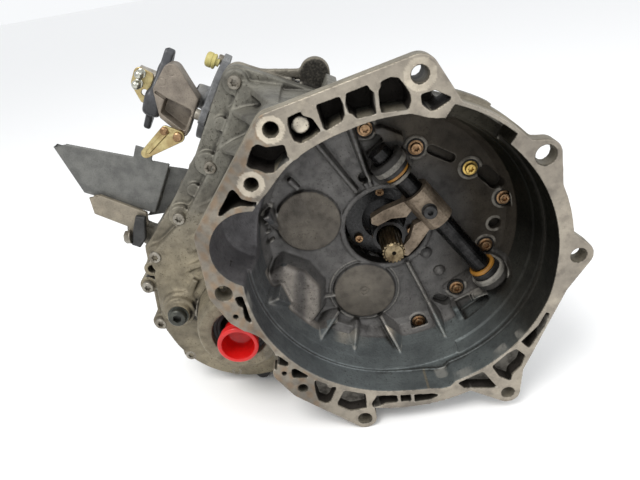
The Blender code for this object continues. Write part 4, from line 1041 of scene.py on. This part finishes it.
# ---------------------------------------------------------------- gear casing and end cover
def build_casing(c):
    c.prism(belt(grown(case_circles, 1.4)), JOINT_REAR, 137.5, edge=1.3)
    c.prism(belt(back_circles), 128, 236, 5, edge=7)
    c.prism(belt([(-49.5, 160.7, 15), (-50, 128, 13)]), JOINT_REAR, 137.5, 3, edge=1.2)
    c.prism(belt([(-108, 170, 3.5), (-60, 161, 5)]), 128, 135, 2, edge=1)
    c.prism(belt(rear_circles), 128, 345.5, 8, edge=2)
    c.prism(belt(grown(rear_circles, 5.0)), 335, CASING_END, 4, edge=1)
    c.disc(DIFF, 44, 220, 246, 6)
    c.turned([(40, 228), (62, 228), (60, 240), (42, 242)], DIFF, 4)
    c.prism([(-12, -184), (34, -184), (34, -62), (-12, -62)], 268, 300, 9, edge=2)
    c.prism([(6, -176), (16, -176), (14, -70), (8, -70)], 240, 300, 5, edge=2)
    add_spun(c, tube(0, 42, -14, 6), SELECT_AT, SELECT_DIR, 7)
    c.prism(belt([(-276, 24, 9), (-250, 2, 12)]), 131, 150, 6, edge=2)
    c.rod((-278, 140, 25), (-252, 140, 4), 8.5, 5)
    c.disc((-44, 96), 16, 280, 318, 6)
    add_spun(c, tube(0, 13, 96, 109.6), (-44, 300, 0), (0, 0, 1), 5)
    for y in (158, 184, 210):
        c.prism(belt(grown(back_circles, 1.3)), y, y + 3.5, 3, edge=1)
    for y in (262, 290, 318):
        c.prism(belt(grown(rear_circles, 2.5)), y, y + 3.5, 3, edge=1)
    walls = belt(back_circles, 30)
    for i in range(len(walls)):
        (x0, z0), (x1, z1) = walls[i - 1], walls[i]
        length = hypot(x1 - x0, z1 - z0)
        if length < 34:
            continue
        ux, uz = (x1 - x0) / length, (z1 - z0) / length
        ribs = int(length // 26)
        for k in range(1, ribs + 1):
            s = length * k / (ribs + 1)
            x, z = x0 + ux * s, z0 + uz * s
            if z < -120:
                continue
            c.slab(
                [(-1.6, -3), (1.6, -3), (1.2, 3.0), (-1.2, 3.0)], (x, 136, z), (ux, 0, uz), (uz, 0, -ux),
                (0, 1, 0), 92, 3,
            )
    for x, z, r in (
        (-171, 94, 12), (-213, 42, 12), (-250, 2, 12), (-125, 168, 12), (-269, -33, 10), (-269, -84, 10.5),
        (-246, -132, 10.5), (-198, -164, 10.5),
    ):
        c.disc((x, z), r, JOINT_REAR, 146, 4)
    for x, z in COVER_BOLTS:
        c.disc((x, z), 8.5, 322, CASING_END, 4)
    c.prism(belt(grown(back_circles, -5.6)), 125, 228, away=True)
    c.prism(belt(room_circles), 120, 130, away=True)
    c.prism(belt(grown(rear_circles, -6)), 125, 326, away=True)
    c.disc(DIFF, 41, 212, 232, 2)
    c.turned([(0, 200), (34.9, 200), (34.9, 228), (26, 228), (26, 260), (0, 260)], DIFF, away=True)
    add_spun(c, tube(0, 22, -60, 9), SELECT_AT, SELECT_DIR, away=True)
    for at in ((0.0, 0.0), OUT1, OUT2):
        c.disc(at, 31.9, 320, 362, away=True)
    c.disc((11, -160), 6, 260, 310, away=True)
    add_spun(c, tube(0, 6.3, 80, 120), (-44, 300, 0), (0, 0, 1), away=True)


edge_line = belt(grown(rear_circles, -0.5), 12)
COVER_BOLTS = [
    min(edge_line, key=lambda p: abs((degrees(atan2(p[1] + 5, p[0] + 45)) - want + 180) % 360 - 180))
    for want in range(0, 360, 40)
]


def casing_colour(points, normal):
    n = len(points)
    tint = np.tile((0.215, 0.200, 0.165), (n, 1))
    seat = np.linalg.norm(points - np.array(SELECT_AT), axis=1) < 44
    tint[seat] = (0.25, 0.24, 0.215)
    return tint, (points[:, 1] > 345.4).astype(float)


cast_piece(
    "gear_casing_shell", (-290, 124.5, -187), (62, 348, 190), 1.7, build_casing, "case", ("gear_casing",),
    colour=casing_colour,
)


def build_cover(c):
    c.prism(belt(grown(rear_circles, 5.0)), COVER_FRONT, 352, edge=0.8)
    c.prism(belt(grown(rear_circles, -8.0)), 348, 362.6, 4, edge=4)
    for x, z in COVER_BOLTS:
        c.disc((x, z), 8.5, COVER_FRONT, 353.4, 2)
    for at, r in (((0.0, 0.0), 34), (OUT1, 44), (OUT2, 42)):
        c.turned([(r - 3, 360), (r, 360), (r - 0.6, 363.2), (r - 2.4, 363.2)], at, 2)
    for a, b in (((0, 0), OUT1), ((0, 0), OUT2), (OUT1, OUT2), (OUT1, (-128, 106)), (OUT1, (-50, 84))):
        c.prism(belt([(*a, 1.6), (*b, 1.6)]), 359, 362.4, 2.0, edge=0.8)
    c.prism(belt(grown(rear_circles, -12.0)), 341, 359, away=True)


cast_piece(
    "end_cover_casting", (-166, 344.5, -150), (66, 366, 132), 1.4, build_cover, "case", ("end_cover",),
    tint=(0.26, 0.245, 0.21),
)
for i, (x, z) in enumerate(COVER_BOLTS):
    socket_bolt(f"cover_bolt_{i + 1}", (x, 353.4, z), IN, "case", "bolt", 5.2, 5.0, 2.3)


# ---------------------------------------------------------------- clutch side pieces
for i, ((x, z), colour) in enumerate(COPPER.items()):
    socket_bolt(
        f"bell_bolt_{i + 1}", (x, 92.0, z), OUT, "case", colour, 5.6, 5.4, 2.6, 7.4,
    )
    # a thin black disc round each bolt head in its counterbore: painted shade
    spun_object(
        f"bell_bolt_shade_disc_{i + 1}", (x, 92.0, z), OUT,
        [(0, 0.3), (9.0, 0.3), (9.05, 0.0), (9.0, -0.4), (0, -0.4)], "case", "black",
    )
for i, (x, z) in enumerate(((-1.5, 33.4), (-29.6, -17.4), (27.9, -16.8))):
    socket_bolt(
        f"sleeve_bolt_{i + 1}", (x, 112.2, z), OUT, "case", "copper", 4.8, 5.2, 2.2, 0,
        (f"retainer_bolt_{i + 1}",),
    )
JOINT_BOLTS = (
    (-124.8, 169.0), (-167.4, 91.2), (-213.0, 42.0), (-250.5, 2.2), (-269.2, -33.2), (-269.0, -83.0),
    (-246.0, -132.0), (-197.8, -164.0),
)
for i, (x, z) in enumerate(JOINT_BOLTS):
    y = 103.2 if i < 5 else 104.0
    socket_bolt(f"joint_bolt_{i + 1}", (x, y, z), OUT, "case", "bolt", 6.6, 7.0, 3.2)
spun_object("joint_plug", (-167.8, 104.0, -172.6), OUT, [
    (0, 5.6), (7.6, 5.6), (8.6, 4.8), (8.8, 0.6), (9.8, 0.4), (9.8, -0.6), (4, -0.8), (0, -0.8),
], "case", "dark")
spun_object("drain_plug_body", (DRAIN[0], 77.6, DRAIN[1]), OUT, [
    (0, 2.4), (hexagon(8.4), 2.4), (hexagon(8.6), 7.2), (6.6, 7.6), (8.6, 7.5), (9.4, 6.9), (9.9, 6.0),
    (9.9, 1.0), (11.4, 0.8), (11.4, -0.1), (5.2, -0.4), (5.2, -16), (0, -16),
], "case", "plug", ("drain_plug",), 60)
fork_mid = SHAFT_TOP - CROSS * Vector((SHAFT_TOP.x, 0, SHAFT_TOP.z)).dot(CROSS)
spun_object("fork_clamp_bolt", fork_mid, OUT, [
    (0, 18.6), (hexagon(5.0), 18.6), (hexagon(5.2), 22.2), (4.2, 22.4), (6.0, 22.2), (6.8, 21.4), (7.0, 20.2),
    (7.0, 17.0), (7.6, 16.4), (7.6, 15.6), (0, 15.6),
], "release", "dark", ("fork_bolt",))
spun_object("upper_bush", SHAFT_TOP, CROSS, [
    (10.9, -6.0), (12.4, -6.0), (13.0, -5.4), (13.0, -3.4), (12.2, -3.0), (12.2, 2.0), (13.2, 2.4),
    (13.2, 4.8), (12.2, 5.4), (10.9, 5.6), (10.9, -6.0),
], "case", "amber", ("bush_upper",), 64)
spun_object("upper_bush_shell", SHAFT_TOP, CROSS, [
    (12.6, -2.8), (14.4, -2.8), (14.8, -2.2), (14.8, 1.2), (14.4, 1.8), (12.6, 1.8), (12.6, -2.8),
], "case", "dark", (), 64)
spun_object("upper_collar", SHAFT_TOP, CROSS, [
    (10.9, 5.9), (13.6, 5.9), (14.0, 6.4), (14.0, 9.0), (13.4, 9.6), (10.9, 9.6), (10.9, 5.9),
], "case", "rail", (), 64)
spun_object("lower_bush", SHAFT_LOW, CROSS, [
    (10.9, -6.6), (12.4, -6.9), (13.8, -6.4), (14.2, -5.8), (14.2, -3.4), (13.8, -3.0), (12.0, -2.8),
    (12.0, 6.0), (10.9, 6.0), (10.9, -6.6),
], "case", "amber", ("bush_lower",), 64)
spun_object("lower_bush_shell", SHAFT_LOW, CROSS, [
    (12.3, -2.4), (14.4, -2.4), (14.8, -1.8), (14.8, 7.0), (12.3, 7.0), (12.3, -2.4),
], "case", "dark", (), 64)
AXLE_AT = (DIFF[0], 0, DIFF[1])
spun_object("cup_plug", AXLE_AT, IN, [
    (0, 55.4), (12.6, 55.2), (14.2, 54.0), (15.0, 46.0), (15.9, 36.4), (16.6, 32.4), (17.2, 31.1),
    (19.0, 30.9), (20.6, 31.1), (21.3, 31.8), (21.4, 33.4), (21.2, 35.0), (20.3, 35.4), (20.3, 36.4),
    (20.9, 36.8), (20.8, 38.6), (20.1, 39.0), (20.0, 40.0), (20.7, 40.4), (20.5, 42.2), (18.0, 42.8),
    (17.6, 50.0), (17.4, 56.0), (15.2, 59.4), (13.6, 60.0), (0, 60.0),
], "plug", "red", ("transport_plug",), 72, 50)
spun_object("axle_seal", AXLE_AT, IN, [
    (22.4, 61.5), (23.5, 60.4), (25.5, 60.2), (26.4, 58.6), (27.6, 58.2), (29.6, 58.4), (29.8, 60.9),
    (25.6, 61.2), (22.4, 61.5),
], "case", "rubber", (), 64, 50)


# ---------------------------------------------------------------- selector tower and levers
def tower_way(turn):
    """A direction in the selector's flange, turn degrees round from up the wall."""
    return UP_WALL * cos(radians(turn)) + IN * sin(radians(turn))


TOWER_BOLTS = (20, 140, 260)


def build_tower(c):
    add_spun(c, [
        (0, 6.4), (42.4, 6.4), (43, 7.2), (43, 13.2), (42.2, 14), (33, 14.2), (15, 15.8), (13, 18),
        (12.8, 24), (12.2, 28.2), (0, 28.2),
    ], SELECT_AT, SELECT_DIR, 2)
    for turn in TOWER_BOLTS:
        spot = SELECT_AT + SELECT_DIR * 6.4 + tower_way(turn) * 44
        add_spun(c, tube(0, 8.4, 0, 7.8), spot, SELECT_DIR, 4)
    add_spun(c, tube(33.5, 34.8, 13.2, 16), SELECT_AT, SELECT_DIR, away=True)
    for turn in range(0, 360, 45):
        way = tower_way(turn)
        across = way.cross(SELECT_DIR)
        c.slab(
            [(12, 12), (32, 12), (30, 14.8), (14, 15.3)], SELECT_AT - across * 1.2, way, SELECT_DIR, across,
            2.4, 2,
        )
    add_spun(c, tube(0, 9, 0, 30), SELECT_AT, SELECT_DIR, away=True)


tower_low = [min(v) for v in zip(SELECT_AT - Vector((52, 56, 52)), SELECT_AT)]
tower_high = [max(v) for v in zip(SELECT_AT + Vector((40, 56, 62)), SELECT_AT)]
cast_piece(
    "selector_turret", tower_low, tower_high, 0.9, build_tower, "case", ("selector_housing",),
    tint=(0.17, 0.178, 0.19),
)
for i, turn in enumerate(TOWER_BOLTS):
    spot = SELECT_AT + SELECT_DIR * 14.2 + tower_way(turn) * 44
    socket_bolt(f"turret_bolt_{i + 1}", spot, SELECT_DIR, "case", "bolt", 5.6, 5.4, 2.6)
spun_object("shaft_seal", SELECT_AT, SELECT_DIR, [
    (7.3, 27.4), (8.2, 29.2), (10.4, 29.4), (11.8, 28.6), (11.8, 26.8), (7.3, 26.6), (7.3, 27.4),
], "case", "rubber", (), 48)
cap_at = SELECT_AT + SELECT_DIR * 1.5 + UP_WALL * 40
spun_object("breather", cap_at, SELECT_DIR, [
    (0, 14.6), (4, 14.6), (4, 17.6), (6.6, 18.0), (8.0, 18.6), (8.2, 20.4), (7.6, 21.0), (7.6, 22.0),
    (8.1, 22.5), (8.1, 26.4), (7.2, 28.0), (5.4, 28.9), (0, 29.0),
], "case", "cap", ("breather_cap",), 48, 40)


def build_weight(c):
    face = belt([(-54, 20, 9), (-62, -2, 5), (-50, -25, 4), (-25, -34, 4), (-25, 3, 4)])
    origin = SELECT_AT + Vector((0, -16, 0))
    back = Vector(SELECT_DIR) * -1
    c.slab(face, origin, back, UP_WALL, OUT, 20, edge=1.0)
    hollow = belt([(-50, -9, 3), (-50, -21, 3), (-27, -29, 2.5), (-27, -11, 3)])
    c.slab(hollow, origin + OUT * 4, back, UP_WALL, OUT, 30, 0, True, edge=0.8)
    c.slab(
        [(-64, -3), (-20, -13), (-20, -16), (-64, -6)], origin + OUT * 17, back, UP_WALL, OUT, 6, 0, True,
        edge=0.3,
    )
    for at, r in (((-54, 20), 3.4), ((-60, 8), 4.2)):
        add_spun(c, tube(r - 0.5, r, 19.2, 21), origin + back * at[0] + UP_WALL * at[1], OUT, away=True)


def build_arm(c):
    origin = SELECT_AT + SELECT_DIR * 60.8
    add_spun(c, tube(0, 13, 60.8, 71), SELECT_AT, SELECT_DIR, 2)
    c.slab(belt([(30, 6, 6.6), (10, 9, 7), (0, 0, 12)]), origin, UP_WALL, OUT, SELECT_DIR, 10, 3, edge=2.2)
    c.slab(
        belt([(8, 10, 11), (-12, 20, 12), (-24, 20, 8), (-8, 0, 12)]), origin, UP_WALL, OUT, SELECT_DIR, 10.2,
        4, edge=3,
    )
    c.slab(
        belt([(-20, 18, 7), (-48, 12, 4.6), (-30, 8, 5)]), origin + SELECT_DIR * 1.5, UP_WALL, OUT,
        SELECT_DIR, 7.5, 5, edge=2.4,
    )
    c.slab(
        belt([(-14, 26, 9), (-26, 22, 8), (-22, 12, 9)]), origin - SELECT_DIR * 6, UP_WALL, OUT, SELECT_DIR,
        19, 4, edge=5,
    )
    add_spun(c, tube(0, 7.1, 55, 75), SELECT_AT, SELECT_DIR, away=True)


low, high = SELECT_AT + Vector((-95, -58, -52)), SELECT_AT + Vector((6, 22, 66))
cast_piece(
    "counterweight", low, high, 0.9, build_weight, "selector", ("shift_lever",), material="weight",
)
cast_piece("lever_body", low, high, 0.9, build_arm, "selector", material="lever")


def build_plate(c):
    origin = SELECT_AT + Vector((0, -20, 0))
    c.slab(
        belt([(-75.4, 5, 4), (-86, 4, 6), (-86, -7, 6), (-75.4, -20, 4)]), origin, SELECT_DIR * -1, UP_WALL,
        OUT, 2.9, edge=0.7,
    )
    add_spun(c, tube(0, 3.4, -5, 8), origin + SELECT_DIR * 76 - UP_WALL * 13, OUT, away=True)


cast_piece(
    "stud_plate", SELECT_AT + Vector((-92, -26, 14)), SELECT_AT + Vector((-56, -17, 62)), 0.5, build_plate,
    "selector", ("lever_plate",), material="zinc",
)
for i, up in enumerate((5, -6)):
    ball = [(4.7 * cos(radians(t)), 12.5 + 4.7 * sin(radians(t))) for t in range(-58, 90, 8)]
    spun_object(
        f"stud_{i + 1}", SELECT_AT + Vector((0, -20, 0)) + SELECT_DIR * 84 + UP_WALL * up, OUT,
        [
            (0, 3.0), (4.6, 3.0), (4.9, 3.3), (4.9, 4.6), (4.4, 5.0), (2.9, 5.4), (2.4, 6.2), (2.4, 8.3),
            *ball, (0, 17.2),
        ],
        "selector", "stud", (f"ball_stud_{i + 1}",), 40, 40,
    )


RELAY_AT = (-199, 120)          # the pin that the select lever turns on


def build_strip(c):
    c.prism(belt([(0, 0, 6.6), (-11, 8, 5.4), (-38, -12, 5)]), 128.2, 131.6, edge=0.8, centre=RELAY_AT)
    c.prism(belt([(-10, 7, 2.0), (-34, -10, 2.0)]), 126.6, 130, 1.5, edge=0.6, centre=RELAY_AT)
    c.disc(RELAY_AT, 3.2, 120, 140, away=True)


cast_piece(
    "relay_strip", (-246, 125, 100), (-188, 135, 137), 0.6, build_strip, "select_arm", ("select_lever",),
    material="zinc",
)
spun_object(
    "relay_pin", (RELAY_AT[0], 127.6, RELAY_AT[1]), OUT,
    [
        (0, 3.4), (3.6, 3.2), (4.8, 2.4), (5.0, -0.6), (3.0, -0.8), (3.0, -9.5), (4.6, -9.7), (4.6, -12.5),
        (0, -12.8),
    ],
    "select_arm", "copper", (),
)
spun_object("relay_guide", (-211, 127.6, 128.5), OUT, [
    (0, 2.6), (2.4, 2.6), (4.2, 1.6), (4.2, -0.6), (2.4, -0.9), (2.4, -6), (0, -6),
], "select_arm", "copper", ())


# ---------------------------------------------------------------- cable bracket
BOX = [(-334, 136), (-318, 74.5), (-249, 38), (-217, 91.5)]


def build_box(c):
    c.prism(BOX, 134.2, 181.8, edge=1.6)
    c.prism([
        (-331.2, 160), (-331.2, 135), (-316, 76.6), (-249.6, 41.0), (-219.6, 91.6), (-219.4, 160),
    ], 136.8, 196, away=True, edge=0.6)
    c.slab(
        [(136, 134), (190, 104), (190, 190), (136, 190)], (-300, 0, 0), (0, 1, 0), (0, 0, 1), (-1, 0, 0), 50,
        away=True,
    )
    c.slab(
        [(136, 89), (190, 60), (190, 190), (136, 190)], (-200, 0, 0), (0, 1, 0), (0, 0, 1), (-1, 0, 0), 40,
        away=True,
    )
    c.prism([(-258, 96), (-241, 88), (-230, 108), (-247, 117)], 134.2, 136.8, edge=0.6)
    c.prism([
        (-240, 90), (-209, 80), (-191, 73), (-211, 42), (-227, 14), (-260, 4), (-266, 30), (-250, 44),
    ], 148, 151, edge=0.8)


cast_piece(
    "bracket_box", (-344, 132.5, 31), (-200, 184, 130), 1.0, build_box, "case", ("cable_bracket",),
    material="bracket",
)


def build_apron(c):
    c.prism([
        (-311, 78.6), (-311.8, 51.4), (-280, 30), (-284, 19), (-268, 16), (-260, 28), (-248, 38), (-263, 48),
    ], 127.2, 129.9, edge=0.8)
    c.prism([(-312, 74.5), (-250, 34), (-248, 38), (-311, 78.5)], 127.2, 133.4, 1.5, edge=1.4)


cast_piece(
    "bracket_apron", (-332, 125.5, 13), (-256, 135, 71), 0.7, build_apron, "case", ("bracket_plate",),
    material="bracket_tan",
)


def build_clamp(c):
    c.prism([(-266, 44), (-256, 41), (-263, 15), (-272, 6), (-280.4, 11), (-273.5, 29)], 119.5, 126.6, edge=2)


cast_piece(
    "bracket_clamp", (-285, 115, 2), (-252, 130, 48), 0.7, build_clamp, "case", material="bracket_dark",
)
spun_object(
    "clamp_bolt", (-279.0, 123, 19.6), (-1, 0, 0.1),
    [
        (0, 6.6), (hexagon(10.6), 6.6), (hexagon(12.4), 5.8), (hexagon(12.6), 0.8), (7.6, 0.6), (7.6, -0.4),
        (0, -0.4),
    ],
    "case", "bolt", ("bracket_bolt",), 36, 20,
)


# ---------------------------------------------------------------- pieces taken over from the CAD frame
KEPT = {
    "release_fork": ("fork", 0.5), "release_shaft": ("shaft", 0.4), "guide_sleeve": ("sleeve_black", 0.3),
    "input_shaft": ("spline", 0.25), "spring_seat": ("sync", 0.3), "selector_shaft": ("steel", 0.3),
    "reverse_switch": ("black", 0.5),
}
FAMILIES = (
    ("bearing", "bearing", 0.4), ("sleeve", "sync", 0.3), ("fork", "rail", 0.5), ("gear", "gear", 0.2),
    ("rail", "rail", 0.4), ("differential", "diff", 0.6), ("planet", "gear", 0.3), ("side_", "gear", 0.3),
    ("pin", "steel", 0.3), ("shaft", "steel", 0.3), ("output", "gear", 0.2),
)
for node in NODES:
    name = node if isinstance(node, str) else node["name"]
    obj = bpy.data.objects.get(name)
    if obj is None or obj.type != "MESH" or obj.hide_render:
        continue
    look = KEPT.get(name) or next(((m, w) for part, m, w in FAMILIES if part in name), ("steel", 0.3))
    obj.data.materials.clear()
    obj.data.materials.append(MATS[look[0]])
    bevel = obj.modifiers.new("edges", "BEVEL")
    bevel.width = look[1] * MM
    bevel.segments = 2
    bevel.limit_method = "ANGLE"
    bevel.angle_limit = radians(40)


# ---------------------------------------------------------------- floor, light and camera
def stage():
    bm = bmesh.new()
    bmesh.ops.create_grid(bm, x_segments=1, y_segments=1, size=60)
    mesh = bpy.data.meshes.new("floor")
    bm.to_mesh(mesh)
    bm.free()
    floor = linked("floor", mesh)
    floor.location = (0, 0, FLOOR_Z)
    m = Mat("floor_white")
    m.finish((0.93, 0.93, 0.93), 0.9, 0.0, specular=0.1)
    floor.data.materials.append(m.mat)
    world = bpy.data.worlds.new("studio")
    bpy.context.scene.world = world
    world.use_nodes = True
    world.node_tree.nodes["Background"].inputs[0].default_value = (0.97, 0.985, 1.0, 1)
    world.node_tree.nodes["Background"].inputs[1].default_value = 0.97

    def lamp(name, at, to, size, power, colour=(1, 1, 1)):
        light = bpy.data.lights.new(name, "AREA")
        light.shape = "DISK"
        light.size = size
        light.energy = power
        light.color = colour
        obj = linked(name, light)
        obj.location = at
        obj.rotation_euler = (Vector(to) - Vector(at)).to_track_quat("-Z", "Y").to_euler()

    lamp("key", (-0.6, -0.9, 1.7), (0, 0, 0), 0.9, 26, (1.0, 0.985, 0.96))
    lamp("fill", (1.3, -1.0, 1.0), (0, 0, 0), 1.0, 7)
    camera = bpy.data.cameras.new("camera")
    camera.sensor_width = SENSOR
    camera.lens = FOCAL / WIDTH * SENSOR
    camera.clip_start = 0.01
    obj = linked("camera", camera)
    right, up, back = Vector((
        0.9875, -0.0195, -0.1564,
    )), Vector((0.1486, 0.4458, 0.8827)), Vector((0.0525, -0.8949, 0.4432))
    turn = [[right[i], up[i], back[i]] for i in range(3)]
    obj.matrix_world = Matrix.Translation(row((-40.4, -429.4, 254.6))) @ Matrix(turn).to_4x4()
    bpy.context.scene.camera = obj
    bpy.context.scene.view_settings.view_transform = "Standard"


stage()
